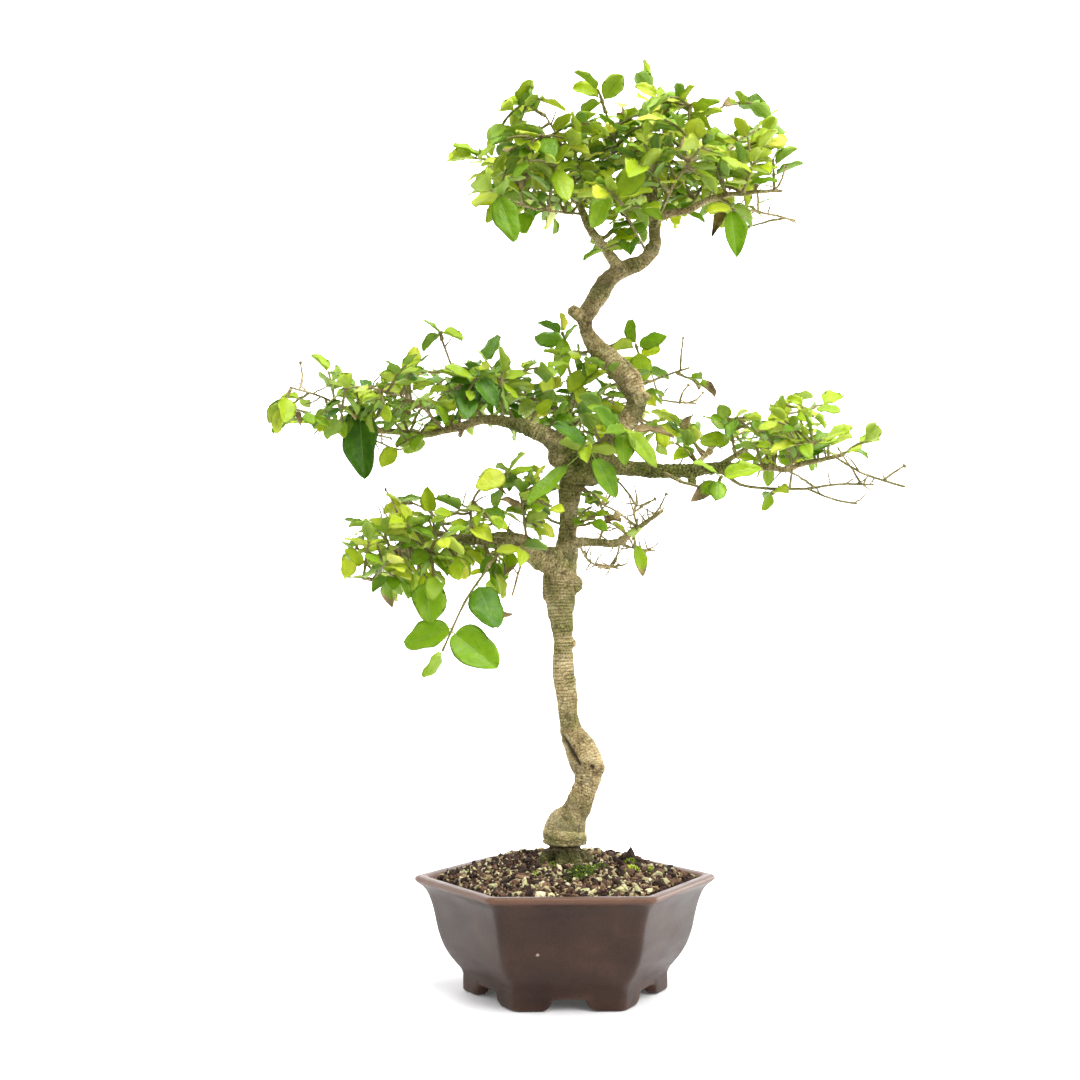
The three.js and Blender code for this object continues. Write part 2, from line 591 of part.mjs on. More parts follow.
function woodSolid() {
  const draw = draws(5);
  const parts = [];
  for (const [name, path] of Object.entries(LIMBS)) {
    const thick = Math.max(...path.map((p) => p[3]));
    const sides = name === 'trunk' ? 8 : thick > 4 ? 6 : thick > 1.7 ? 4 : 3;
    const grown = ROUTES.filter((route) => route.atEnd && route.limb === name)
      .map((route) => [...add(route.from, scale(route.way, route.spur)), 1.1]);
    parts.push(bar([...path, ...grown], sides));
  }
  for (const path of rootPaths(0)) {
    parts.push(bar(path, 6));
  }
  for (const [x, y, z, radius] of KNOBS) {
    parts.push(knot([x, y, z], radius, draw));
  }
  for (const path of STUBS) {
    parts.push(bar(path, 5));
  }
  for (const route of ROUTES.filter((one) => !one.atEnd)) {
    const end = add(route.from, scale(route.way, route.spur));
    parts.push(bar([[...route.from.slice(0, 3), 1.5], [...end, 1.2]], 3));
  }
  for (const twig of TWIGS) {
    parts.push(bar(twig, 3));
  }
  return joined(parts);
}

// One leaf: base and tip, side and upper direction, length and width
function halfWidth(u) {
  return Math.sin(Math.PI * u ** 0.86) ** 0.75 * (1 - 0.12 * u);
}

function leafPoint(leaf, u, v) {
  const out = halfWidth(u) * leaf.width * 0.5 * v;
  const lift = Math.abs(out) * leaf.fold - leaf.droop * leaf.length * u * u
    + leaf.wave * leaf.width * Math.sin(5 * u + leaf.phase) * v;
  const spot = add(leaf.base, scale(leaf.way, leaf.length * u));
  return add(add(spot, scale(leaf.side, out)), scale(leaf.up, lift));
}

function leafSamples(leaf) {
  const spots = [];
  for (const u of [0.18, 0.34, 0.5, 0.66, 0.82]) {
    for (const v of [-1, -0.5, 0, 0.5, 1]) {
      spots.push(leafPoint(leaf, u, v));
    }
  }
  spots.push(leafPoint(leaf, 1, 0));
  return spots;
}

function leafFrom(base, way, upward, length, width, draw) {
  const side = unit(cross(way, upward));
  return {
    base,
    way,
    side,
    up: cross(side, way),
    length,
    width,
    fold: 0.12 + 0.3 * draw(),
    droop: 0.02 + 0.16 * draw(),
    wave: 0.05 * draw(),
    phase: 6.28 * draw(),
  };
}

// Leaves are kept clear of the wood, of other stems and of each other
const WOOD_SPANS = [];
for (const path of [...Object.values(LIMBS), ...STUBS, ...TWIGS]) {
  for (let i = 0; i + 1 < path.length; i += 1) {
    WOOD_SPANS.push([path[i], path[i + 1], Math.max(path[i][3], path[i + 1][3]) + 2]);
  }
}
for (const [x, y, z, radius] of KNOBS) {
  WOOD_SPANS.push([[x, y, z - 0.1], [x, y, z + 0.1], radius + 2]);
}
for (const route of ROUTES) {
  WOOD_SPANS.push([route.from, add(route.from, scale(route.way, route.spur)), 3]);
}

function stemSpans(skip) {
  const spans = [];
  ROUTES.forEach((route, i) => {
    if (i !== skip) {
      spans.push([route.stem[0], route.stem[2], STEM_RADIUS + 2]);
      spans.push([route.stem[2], route.stem[3], STEM_RADIUS + 2]);
    }
  });
  return spans;
}

function tooClose(samples, spans, placed) {
  const centre = samples[12];
  for (const [a, b, keep] of spans) {
    if (spanGap(centre, a, b) < keep + 30 && samples.some((p) => spanGap(p, a, b) < keep)) {
      return true;
    }
  }
  for (const other of placed) {
    if (size(sub(other[12], centre)) < 60) {
      for (const p of samples) {
        for (const q of other) {
          if (size(sub(p, q)) < LEAF_GAP) {
            return true;
          }
        }
      }
    }
  }
  return false;
}

function growLeaves() {
  const draw = draws(71);
  const placed = [];
  const grown = ROUTES.map(() => []);
  const set = (index, t, hand, leaf) => {
    placed.push(leafSamples(leaf));
    grown[index].push({ ...leaf, t, hand });
  };
  BIG_LEAVES.forEach(([name, t, x, y, z, width, nx, ny, nz]) => {
    const index = ROUTES.findIndex((route) => route.name === name);
    const route = ROUTES[index];
    const { point } = onStem(route, t);
    const hand = t === 1 ? 0 : Math.sign(dot(sub([x, y, z], point), route.side));
    const base = add(point, scale(route.side, hand * STEM_RADIUS * 0.7));
    const reach = sub([x, y, z], base);
    set(index, t, hand, leafFrom(base, unit(reach), [nx, ny, nz], size(reach), width, draw));
  });
  ROUTES.forEach((route, index) => {
    const spans = [...WOOD_SPANS, ...stemSpans(index)];
    const total = stemLength(route);
    const spots = [];
    for (let i = 0; i < route.pairs; i += 1) {
      let t = 0.1 + (0.84 * (i + 0.6 * draw())) / route.pairs;
      while (grown[index].some((leaf) => Math.abs(leaf.t - t) * total < 3) && t < 0.9) {
        t += 0.03;
      }
      if (t < 0.95) {
        spots.push([t, -1], [t, 1]);
      }
    }
    if (!grown[index].some((leaf) => leaf.hand === 0)) {
      spots.push([1, 0]);
    }
    for (const [t, hand] of spots) {
      const { point, way } = onStem(route, t);
      const base = add(point, scale(route.side, hand * STEM_RADIUS * 0.7));
      for (let attempt = 0; attempt < 30; attempt += 1) {
        const length = route.length * (0.85 + 0.45 * draw()) * (attempt > 12 ? 0.8 : 1);
        const ahead = hand === 0 ? 1 : 0.2 + 0.7 * draw();
        const jitter = [draw() - 0.5, draw() - 0.5, 1.3 * draw() - 0.75];
        const aim = unit(add(add(scale(way, ahead), scale(route.side, hand * 1.1)), scale(jitter, 0.9)));
        const lean = [draw() - 0.5, draw() - 0.7, 0.35 + 0.5 * draw()];
        const leaf = leafFrom(base, aim, unit(lean), length, length * (0.58 + 0.16 * draw()), draw);
        if (!tooClose(leafSamples(leaf), spans, placed)) {
          set(index, t, hand, leaf);
          break;
        }
      }
    }
  });
  return grown;
}

// A spray is one skin: at each node of the square stem a side face opens out into a leaf
function sprayRing(route, centre, way, radius) {
  const side = unit(sub(route.side, scale(way, dot(route.side, way))));
  const up = cross(side, way);
  const reach = radius * Math.SQRT1_2;
  return [[1, 1], [1, -1], [-1, -1], [-1, 1]].map(
    ([s, u]) => add(centre, add(scale(side, s * reach), scale(up, u * reach))),
  );
}

function leafSkin(leaf, corners, points, triangles) {
  const steps = leaf.length > 25 ? [0.2, 0.5, 0.8] : [0.27, 0.7];
  const fits = [0, 1, 2, 3].map((turn) => {
    const order = corners.map((c, i) => corners[(i + turn) % 4]);
    const wanted = [[-1, 1], [1, 1], [1, -1], [-1, -1]].map(
      ([v, u]) => add(leaf.base, add(scale(leaf.side, v * 0.6), scale(leaf.up, u * 0.4))),
    );
    const miss = wanted.reduce((sum, p, i) => sum + size(sub(p, points[order[i]])), 0);
    return { order, miss };
  });
  const { order } = fits.reduce((best, fit) => (fit.miss < best.miss ? fit : best));
  const rim = [...steps.map((u) => [u, -1]), [1, 0], ...steps.map((u) => [u, 1]).reverse()];
  const top = [order[0]];
  const under = [order[3]];
  const half = scale(leaf.up, BLADE / 2);
  for (const [u, v] of rim) {
    top.push(points.push(add(leafPoint(leaf, u, v), half)) - 1);
    under.push(points.push(sub(leafPoint(leaf, u, v), half)) - 1);
  }
  top.push(order[1]);
  under.push(order[2]);
  const middleTop = points.push(add(leafPoint(leaf, 0.5, 0), half)) - 1;
  const middleUnder = points.push(sub(leafPoint(leaf, 0.5, 0), half)) - 1;
  for (let i = 0; i < top.length; i += 1) {
    const k = (i + 1) % top.length;
    triangles.push([top[k], top[i], middleTop]);
    triangles.push([under[i], under[k], middleUnder]);
    if (k > 0) {
      triangles.push([top[i], top[k], under[k]]);
      triangles.push([top[i], under[k], under[i]]);
    }
  }
}

function spraySolid(route, leaves) {
  const points = [];
  const triangles = [];
  const rings = [];
  const addRing = (centre, way, radius) => {
    const first = points.length;
    points.push(...sprayRing(route, centre, way, radius));
    rings.push([first, first + 1, first + 2, first + 3]);
  };
  const nodes = [...new Set(leaves.filter((leaf) => leaf.hand !== 0).map((leaf) => leaf.t))].sort((a, b) => a - b);
  addRing(route.stem[0], route.way, 1.1);
  const opened = new Map();
  for (const t of nodes) {
    const { point, way } = onStem(route, t);
    opened.set(rings.length, t);
    addRing(sub(point, scale(way, NODE_HALF)), way, STEM_RADIUS);
    addRing(add(point, scale(way, NODE_HALF)), way, STEM_RADIUS);
  }
  const end = onStem(route, 1);
  addRing(end.point, end.way, 0.8);
  const last = rings[rings.length - 1];
  triangles.push([rings[0][0], rings[0][3], rings[0][2]]);
  triangles.push([rings[0][0], rings[0][2], rings[0][1]]);
  for (let i = 0; i + 1 < rings.length; i += 1) {
    const t = opened.get(i);
    for (let j = 0; j < 4; j += 1) {
      const k = (j + 1) % 4;
      const face = [rings[i][j], rings[i][k], rings[i + 1][k], rings[i + 1][j]];
      const hand = j === 0 ? 1 : j === 2 ? -1 : 9;
      const leaf = t === undefined ? null : leaves.find((one) => one.t === t && one.hand === hand);
      if (leaf) {
        leafSkin(leaf, face, points, triangles);
      } else {
        triangles.push([face[0], face[1], face[2]]);
        triangles.push([face[0], face[2], face[3]]);
      }
    }
  }
  const endLeaf = leaves.find((leaf) => leaf.hand === 0);
  if (endLeaf) {
    leafSkin(endLeaf, last, points, triangles);
  } else {
    triangles.push([last[0], last[1], last[2]]);
    triangles.push([last[0], last[2], last[3]]);
  }
  return solid(points, triangles);
}

// Putting the bodies together
const root = new THREE.Group();
root.name = 'privet_bonsai';

function place(name, body, colour, roughness) {
  const mesh = body.getMesh();
  const geometry = new THREE.BufferGeometry();
  geometry.setAttribute('position', new THREE.BufferAttribute(new Float32Array(mesh.vertProperties), 3));
  geometry.setIndex(new THREE.BufferAttribute(new Uint32Array(mesh.triVerts), 1));
  const flat = geometry.toNonIndexed();
  flat.computeVertexNormals();
  const material = new THREE.MeshStandardMaterial({ color: colour, roughness, metalness: 0 });
  const node = new THREE.Mesh(flat, material);
  node.name = name;
  node.position.set(SHIFT_X, SHIFT_Y, 0);
  root.add(node);
}

place('pot', potSolid().simplify(0.25), '#4a332b', 0.45);
place('drain_screen', screenSolid(), '#2e3230', 0.6);
place('soil', soilSolid().simplify(0.4), '#4b3c2c', 0.95);
place('wood', woodSolid().simplify(0.4), '#8d7a58', 0.85);
const GREENS = ['#7fb52f', '#5f9c2b', '#8ec236', '#4f8a2c'];
growLeaves().forEach((leaves, i) => {
  place(`spray_${ROUTES[i].name}`, spraySolid(ROUTES[i], leaves), GREENS[i % GREENS.length], 0.5);
});

export default root;
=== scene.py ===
# %% [markdown]
# # A California privet bonsai in a hexagonal pot
# The object is a small privet tree, about 64 cm tall with its pot. The solids are already made and
# loaded as a fixed frame. This lesson dresses them: a fine pot, soil with loose grit, bark with moss,
# and leaves with folds, veins and dry tips. All lengths in the tables are millimetres from the pot's
# middle axis, because a maker measures a bonsai that way, and they become metres only in the meshes.

# %% Load the frame
import math
import random

import bpy
import numpy as np
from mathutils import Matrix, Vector, kdtree, noise


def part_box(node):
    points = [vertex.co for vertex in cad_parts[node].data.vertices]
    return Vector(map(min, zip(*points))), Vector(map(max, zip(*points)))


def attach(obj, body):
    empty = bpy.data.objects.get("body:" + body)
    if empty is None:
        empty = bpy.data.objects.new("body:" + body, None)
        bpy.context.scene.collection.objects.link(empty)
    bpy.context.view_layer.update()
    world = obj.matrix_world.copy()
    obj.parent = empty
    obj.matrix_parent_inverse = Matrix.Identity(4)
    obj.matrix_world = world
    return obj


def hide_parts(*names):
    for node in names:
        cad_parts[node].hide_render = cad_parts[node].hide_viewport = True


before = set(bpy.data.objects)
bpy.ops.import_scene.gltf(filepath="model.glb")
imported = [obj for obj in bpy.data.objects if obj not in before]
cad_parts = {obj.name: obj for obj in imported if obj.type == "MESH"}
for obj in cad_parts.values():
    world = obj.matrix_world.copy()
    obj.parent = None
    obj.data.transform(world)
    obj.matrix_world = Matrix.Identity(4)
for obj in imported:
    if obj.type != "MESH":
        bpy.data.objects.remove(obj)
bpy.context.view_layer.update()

pot_low, pot_high = (np.array(c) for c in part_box("pot"))
MIDDLE = np.array([(pot_low[0] + pot_high[0]) / 2, (pot_low[1] + pot_high[1]) / 2, 0.0])
print("pot in mm:", np.round((pot_high - pot_low) * 1000, 1), "middle:", np.round(MIDDLE * 1000, 1))

# %% [markdown]
# ## Small tools
# A colour is easiest to note as an sRGB hex value, but shaders work in linear light, so one function
# turns it. Another adds one shader node with its settings and links. A third makes a mesh object from
# points in millimetres, shades it smooth or flat, and gives it per-point values that shaders can read.

# %% Colour, node and mesh helpers
MM = 0.001
WHITE = (1.0, 1.0, 1.0, 1.0)


def linear(hex_value):
    parts = [int(hex_value[i:i + 2], 16) / 255 for i in (1, 3, 5)]
    return tuple(c / 12.92 if c <= 0.04045 else ((c + 0.055) / 1.055) ** 2.4 for c in parts) + (1.0,)


def add(tree, kind, values=None, **settings):
    made = tree.nodes.new(kind)
    for key, value in settings.items():
        setattr(made, key, value)
    for key, value in (values or {}).items():
        if isinstance(value, bpy.types.NodeSocket):
            tree.links.new(value, made.inputs[key])
        else:
            made.inputs[key].default_value = value
    return made


def new_material(name):
    material = bpy.data.materials.new(name)
    material.use_nodes = True
    material.node_tree.nodes.clear()
    return material, material.node_tree


def set_ramp(ramp_node, stops):
    ramp = ramp_node.color_ramp
    while len(ramp.elements) > 1:
        ramp.elements.remove(ramp.elements[-1])
    ramp.elements[0].position, ramp.elements[0].color = stops[0][0], linear(stops[0][1])
    for position, colour in stops[1:]:
        ramp.elements.new(position).color = linear(colour)
    return ramp_node


def make_piece(name, points, faces, material, smooth=True, values=None):
    mesh = bpy.data.meshes.new(name)
    place = np.asarray(points, dtype=float) * MM + MIDDLE
    mesh.from_pydata(place.tolist(), [], [list(map(int, f)) for f in faces])
    mesh.polygons.foreach_set("use_smooth", [smooth] * len(mesh.polygons))
    for key, data in (values or {}).items():
        layer = mesh.attributes.new(key, "FLOAT", "POINT")
        layer.data.foreach_set("value", np.asarray(data, dtype=np.float32))
    mesh.materials.append(material)
    piece = bpy.data.objects.new(name, mesh)
    bpy.context.collection.objects.link(piece)
    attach(piece, "root")
    print(name, "has", sum(len(f) - 2 for f in faces), "triangles")
    return piece


print("mid grey in linear light:", round(linear("#808080")[0], 3))

# %% [markdown]
# ## Camera
# The picture was taken with a short telephoto view from table height, tilted up four degrees. The
# pot's six lip corners fix it: with a lip of 200 mm they give a distance of 98 cm, a height of 23 cm
# and a lens of 48 mm on a 36 mm sensor. The pot is turned 1.6 degrees, so the camera is swung instead.

# %% Place the camera
LENS, SENSOR = 48.0, 36.0
# metres across and away from the pot's middle and above the paper, then degrees up from straight down
FROM_MIDDLE = (-0.0443, -0.9781, 0.2316)
TILT, SWING = 94.0, -1.6
camera_data = bpy.data.cameras.new("camera")
camera_data.lens = LENS
camera_data.sensor_width = SENSOR
camera = bpy.data.objects.new("camera", camera_data)
camera.location = Vector(MIDDLE + np.array(FROM_MIDDLE))
camera.rotation_euler = (math.radians(TILT), 0.0, math.radians(SWING))
bpy.context.collection.objects.link(camera)
bpy.context.scene.camera = camera
bpy.context.scene.view_settings.view_transform = "Standard"
print("camera at", [round(c, 3) for c in camera.location])

# %% [markdown]
# ## Floor and light
# The tree stands on white paper in a white room, and the room behind the photographer is dim. That dim
# side matters: it is what the pot's front wall mirrors, so the front looks darkest and the side walls
# light. The paper behind the tree is lit on its own, far brighter than the tree, as is usual for a cut-out
# on white; a soft glow that starts behind the pot gives this. An even sky that darkens low in front and
# large soft lamps do the rest.

# %% White sweep
paper, tree = new_material("white_paper_sweep")
place = add(tree, "ShaderNodeTexCoord").outputs["Object"]
depth = add(tree, "ShaderNodeSeparateXYZ", {0: place}).outputs[1]
# the glow grows from 2 cm to 40 cm behind the pot's middle
lit = add(tree, "ShaderNodeMapRange", {0: depth, 1: 0.02, 2: 0.4, 3: 0.06, 4: 1.7}).outputs[0]
bsdf = add(tree, "ShaderNodeBsdfPrincipled", {"Base Color": linear("#f6f6f7"), "Roughness": 0.9,
                                               "Specular IOR Level": 0.1, "Emission Strength": lit,
                                               "Emission Color": WHITE})
add(tree, "ShaderNodeOutputMaterial", {"Surface": bsdf.outputs[0]})
# the paper lies flat for 0.9 m behind the pot, bends up on a radius of 1.2 m and stands 3.5 m high
FLAT, BEND, TOP = 0.9, 1.2, 3.5
rows = [(-0.36, 0.0)]
for turn in np.linspace(0, math.pi / 2, 9):
    rows.append((FLAT + BEND * math.sin(turn), BEND - BEND * math.cos(turn)))
rows.append((FLAT + BEND, TOP))
sweep_mesh = bpy.data.meshes.new("paper_sweep")
sweep_points = [(x, y, z - 0.0004) for y, z in rows for x in (-3.0, 3.0)]
sweep_faces = [(2 * i, 2 * i + 1, 2 * i + 3, 2 * i + 2) for i in range(len(rows) - 1)]
sweep_mesh.from_pydata(sweep_points, [], sweep_faces)
sweep_mesh.polygons.foreach_set("use_smooth", [True] * len(sweep_mesh.polygons))
sweep_mesh.materials.append(paper)
sweep = bpy.data.objects.new("paper_sweep", sweep_mesh)
bpy.context.collection.objects.link(sweep)

# %% Even sky and soft lamps
world = bpy.data.worlds.new("white_room")
bpy.context.scene.world = world
world.use_nodes = True
tree = world.node_tree
tree.nodes.clear()
way = add(tree, "ShaderNodeTexCoord").outputs["Generated"]
direction = add(tree, "ShaderNodeSeparateXYZ", {0: way})
# full brightness behind and above falls to a quarter low in front
front = add(tree, "ShaderNodeMath", {0: direction.outputs[2], 1: 0.9, 2: direction.outputs[1]},
            operation="MULTIPLY_ADD").outputs[0]
front = add(tree, "ShaderNodeMapRange", {0: front, 1: -0.75, 2: -0.05, 3: 0.25, 4: 1.0}).outputs[0]
room = add(tree, "ShaderNodeBackground", {"Color": WHITE, "Strength": front})
seen = add(tree, "ShaderNodeBackground", {"Color": WHITE, "Strength": 1.0})
plain = add(tree, "ShaderNodeLightPath").outputs["Is Camera Ray"]
sky = add(tree, "ShaderNodeMixShader", {0: plain, 1: room.outputs[0], 2: seen.outputs[0]})
add(tree, "ShaderNodeOutputWorld", {"Surface": sky.outputs[0]})


def soft_lamp(name, place, size, watts):
    lamp_data = bpy.data.lights.new(name, "AREA")
    lamp_data.shape = "RECTANGLE"
    lamp_data.size, lamp_data.size_y = size
    lamp_data.energy = watts
    lamp = bpy.data.objects.new(name, lamp_data)
    lamp.location = Vector(place)
    lamp.rotation_euler = (Vector((0.0, 0.0, 0.3)) - lamp.location).to_track_quat("-Z", "Y").to_euler()
    lamp.visible_camera = False
    bpy.context.collection.objects.link(lamp)


# name, place and size in metres, watts
soft_lamp("lamp_right_back", (1.25, 0.8, 0.35), (0.6, 0.6), 9)
soft_lamp("lamp_left_back", (-1.3, 0.9, 0.4), (0.9, 0.9), 2)
soft_lamp("lamp_top", (0.25, -0.45, 1.7), (1.2, 1.0), 33)
soft_lamp("lamp_front_right", (0.9, -1.1, 0.9), (0.9, 0.9), 14)
print("stage and", len(bpy.data.lights), "lamps")

# %% [markdown]
# ## The tree's own measures
# A tree has no plan, but its limbs can be measured: a few points along each, with the thickness there.
# The trunk swings left, then right, then left again, which is what a grower wires into a privet over
# years. The same table made the solids, so the fine wood and leaves grow exactly where they stand.
# Each leafy spray is one row: the limb it starts on, where its tip is, how many leaf pairs it carries
# and how long they are. Leaves that stand out one by one are in a list of their own.

# %% Limbs as points along the middle: x, y, z, radius
LIMBS = {
    "trunk": [
        [0, 0, 89, 10.4], [0, -1, 98, 13.4], [0, -2, 105, 14.8], [4, -3, 115, 11.4], [9, -3, 125, 9.4],
        [15, -1, 138, 8.8], [15, 2, 148, 10.8], [10, 4, 159, 10.5], [5, 6, 169, 8.2], [2, 6, 183, 6.7],
        [1, 4, 198, 6.8], [-1, 2, 215, 6.7], [-1, 0, 232, 6.5], [-3, -1, 249, 8.5], [-3, 0, 263, 10.9],
        [-3, 2, 276, 11.9], [1, 4, 292, 8.2], [2, 4, 311, 6.3], [3, 2, 328, 7.2], [6, 0, 343, 10.3],
        [17, -2, 354, 9.6], [27, -5, 363, 6.8], [36, -10, 374, 7.1], [45, -14, 385, 7.1],
        [48, -15, 395, 7.1], [43, -12, 408, 8.2], [33, -8, 420, 8.2], [23, -4, 431, 6.9],
        [16, -1, 442, 5.2], [14, 0, 452, 5.5], [18, 1, 461, 6.2], [25, 2, 473, 6.9], [31, 2, 481, 6.6],
        [41, 1, 488, 5.9], [54, -2, 493, 5.2], [62, -4, 502, 4.6], [62, -4, 514, 4.3], [61, -3, 526, 3.8],
        [61, -2, 538, 3.1], [63, 0, 554, 2.2], [68, 3, 573, 1.5], [73, 6, 589, 1],
    ],
    "left_mid": [
        [6, -4, 345, 8.9], [-2, -10, 360, 8.1], [-11, -14, 368, 6.7], [-20, -16, 372, 5.7],
        [-34, -12, 378, 4.4], [-55, -4, 382, 3.4], [-70, 6, 379, 3.1], [-83, 14, 377, 2.8],
        [-100, 22, 375, 2.4], [-127, 30, 379, 2.1], [-142, 34, 377, 1.8], [-153, 36, 375, 1.4],
    ],
    "left_shoot": [[-55, -4, 382, 1.4], [-65, -14, 394, 1], [-75, -22, 411, 0.8], [-83, -30, 431, 0.8]],
    "left_back": [
        [-34, -12, 378, 1.4], [-41, 6, 394, 1.2], [-50, 24, 406, 1.1], [-66, 42, 418, 0.9],
        [-88, 56, 426, 0.8],
    ],
    "left_front": [[-83, 14, 377, 1], [-96, -2, 389, 0.9], [-112, -18, 396, 0.8], [-131, -30, 399, 0.8]],
    "left_outer": [
        [-127, 30, 379, 0.9], [-148, 14, 391, 0.8], [-167, 0, 398, 0.8], [-185, -12, 402, 0.8],
    ],
    "left_bare": [[-153, 36, 375, 0.8], [-163, 38, 381, 0.8], [-172, 40, 385, 0.8]],
    "left_back_low": [[-100, 22, 375, 0.9], [-115, 40, 367, 0.8], [-135, 58, 376, 0.8]],
    "middle": [
        [17, -2, 354, 6.5], [9, 18, 364, 5.6], [6, 34, 379, 5], [2, 42, 394, 4.6], [7, 46, 401, 3.2],
        [25, 52, 404, 2.9], [40, 58, 403, 2.5],
    ],
    "middle_left": [[2, 42, 394, 2.5], [-10, 52, 401, 2], [-24, 60, 406, 1.5]],
    "middle_up": [[7, 46, 401, 1.8], [8, 50, 416, 1.4], [4, 46, 432, 1.1], [4, 44, 440, 0.9]],
    "middle_right": [[25, 52, 404, 1.1], [49, 44, 411, 0.9], [70, 36, 419, 0.8], [90, 30, 425, 0.8]],
    "middle_bare": [[40, 58, 403, 0.9], [66, 66, 408, 0.8], [88, 72, 407, 0.8], [101, 76, 407, 0.8]],
    "right_mid": [
        [22, 0, 358, 6.2], [37, -8, 349, 5.8], [50, -14, 347, 5.1], [64, -20, 345, 4.7],
        [82, -26, 345, 4.3], [100, -32, 346, 4], [117, -38, 345, 3], [133, -44, 345, 2.3],
        [142, -48, 343, 2], [152, -54, 346, 1.8], [162, -60, 348, 1.6], [173, -66, 350, 1.3],
    ],
    "right_up": [
        [100, -32, 347, 2.3], [113, -26, 355, 2], [124, -18, 363, 1.7], [135, -10, 368, 1.4],
        [148, 0, 385, 1], [168, 8, 391, 0.8],
    ],
    "right_back": [
        [82, -26, 345, 2], [96, -4, 358, 1.7], [111, 18, 372, 1.4], [131, 38, 380, 1.1],
        [153, 56, 388, 0.8],
    ],
    "right_low": [
        [101, -33, 345, 1.9], [113, -42, 334, 1.1], [129, -46, 331, 1], [143, -52, 330, 1],
        [156, -56, 330, 0.9], [174, -62, 332, 0.8], [194, -70, 331, 0.8],
    ],
    "right_low_bare": [[154, -56, 330, 0.8], [171, -50, 324, 0.8], [189, -46, 321, 0.8]],
    "right_end_bare": [
        [171, -66, 349, 0.8], [177, -70, 344, 0.8], [187, -80, 336, 0.8], [207, -95, 327, 0.8],
    ],
    "right_front": [[64, -20, 345, 1.7], [73, -44, 336, 1.3], [84, -62, 330, 1], [92, -74, 326, 0.8]],
    "low_left": [
        [-6, -2, 286, 8.8], [-17, -6, 287, 8.1], [-28, -10, 297, 6.1], [-41, -8, 301, 4.4],
        [-61, -2, 300, 3.4], [-78, 6, 303, 2.7], [-96, 14, 308, 2.4], [-114, 22, 314, 2.1],
        [-131, 28, 316, 1.4],
    ],
    "low_up": [[-61, -2, 300, 1.4], [-64, -12, 316, 1.1], [-59, -20, 331, 0.9], [-44, -26, 339, 0.8]],
    "low_up_back": [[-78, 6, 303, 1.1], [-93, 20, 321, 0.9], [-106, 30, 328, 0.8]],
    "low_hang": [[-41, -8, 300, 1.8], [-46, -15, 289, 1.3], [-51, -20, 283, 1.1]],
    "low_hang_short": [[-28, -10, 289, 0.8], [-32, -8, 276, 0.8], [-36, -6, 262, 0.8]],
    "low_back": [
        [-28, -10, 297, 1.7], [-40, 12, 309, 1.4], [-55, 32, 320, 1.1], [-73, 50, 329, 0.9],
        [-94, 64, 335, 0.8],
    ],
    "low_front": [[-96, 14, 308, 0.9], [-109, 0, 296, 0.8], [-121, -14, 282, 0.8], [-129, -22, 272, 0.8]],
    "low_right": [
        [-1, 0, 293, 6.8], [9, -4, 298, 4.1], [22, -8, 298, 3], [35, -14, 297, 2.7], [48, -20, 307, 2],
        [64, -26, 318, 1.3],
    ],
    "low_right_up": [[22, -8, 298, 1], [28, 4, 314, 0.8], [24, 14, 329, 0.8]],
    "low_right_front": [[35, -14, 297, 0.9], [46, -22, 293, 0.8], [58, -30, 291, 0.8]],
    "low_right_tip": [[48, -20, 307, 0.8], [46, -14, 317, 0.8], [48, -8, 325, 0.8]],
    "low_right_back": [[9, -4, 298, 1], [17, 16, 287, 0.8], [29, 30, 283, 0.8], [43, 42, 285, 0.8]],
    "crown_left": [
        [37, 1, 490, 4.5], [27, -4, 502, 3.4], [18, -6, 513, 3.1], [13, -4, 525, 2.8], [9, 0, 535, 2.4],
        [1, 8, 546, 2.3], [-10, 16, 553, 2.1], [-25, 22, 561, 1.8], [-39, 26, 568, 1.4],
    ],
    "crown_left_up": [[9, 0, 535, 1], [5, -10, 554, 0.9], [-4, -18, 572, 0.8], [-14, -24, 587, 0.8]],
    "crown_left_front": [
        [13, -4, 525, 1], [-4, -22, 521, 0.9], [-21, -36, 519, 0.8], [-37, -46, 520, 0.8],
    ],
    "crown_right": [
        [61, -4, 521, 3.8], [72, -8, 525, 3.1], [85, -10, 527, 2.7], [99, -12, 534, 2.4],
        [111, -16, 536, 1.9], [120, -18, 536, 1.7], [133, -20, 537, 1.4], [147, -22, 537, 1],
    ],
    "crown_right_up": [[85, -10, 527, 1], [99, 2, 552, 1], [114, 14, 574, 0.8], [129, 22, 591, 0.8]],
    "crown_right_low": [[99, -12, 534, 0.9], [121, -4, 530, 0.8], [143, 2, 528, 0.8], [162, 6, 525, 0.8]],
    "crown_back": [[61, -3, 526, 1.4], [59, 22, 551, 1.2], [57, 42, 576, 1], [52, 56, 599, 0.8]],
    "crown_front": [[62, -4, 514, 1.2], [66, -28, 525, 1], [72, -46, 536, 0.9], [80, -58, 546, 0.8]],
    "crown_inner": [[57, -4, 498, 1], [51, -14, 504, 0.9], [45, -24, 511, 0.8], [37, -34, 523, 0.8]],
    "crown_top_left": [[61, -2, 538, 1], [46, -6, 556, 0.9], [34, -10, 576, 0.8], [28, -12, 594, 0.8]],
    "crown_top_right": [[63, 0, 554, 0.8], [80, -6, 574, 0.8], [96, -12, 590, 0.8], [110, -16, 599, 0.8]],
    "crown_back_right": [[59, 22, 551, 0.9], [81, 42, 571, 0.8], [106, 58, 585, 0.8]],
    "crown_back_left": [[57, 42, 576, 0.8], [29, 56, 588, 0.8], [0, 66, 595, 0.8]],
}
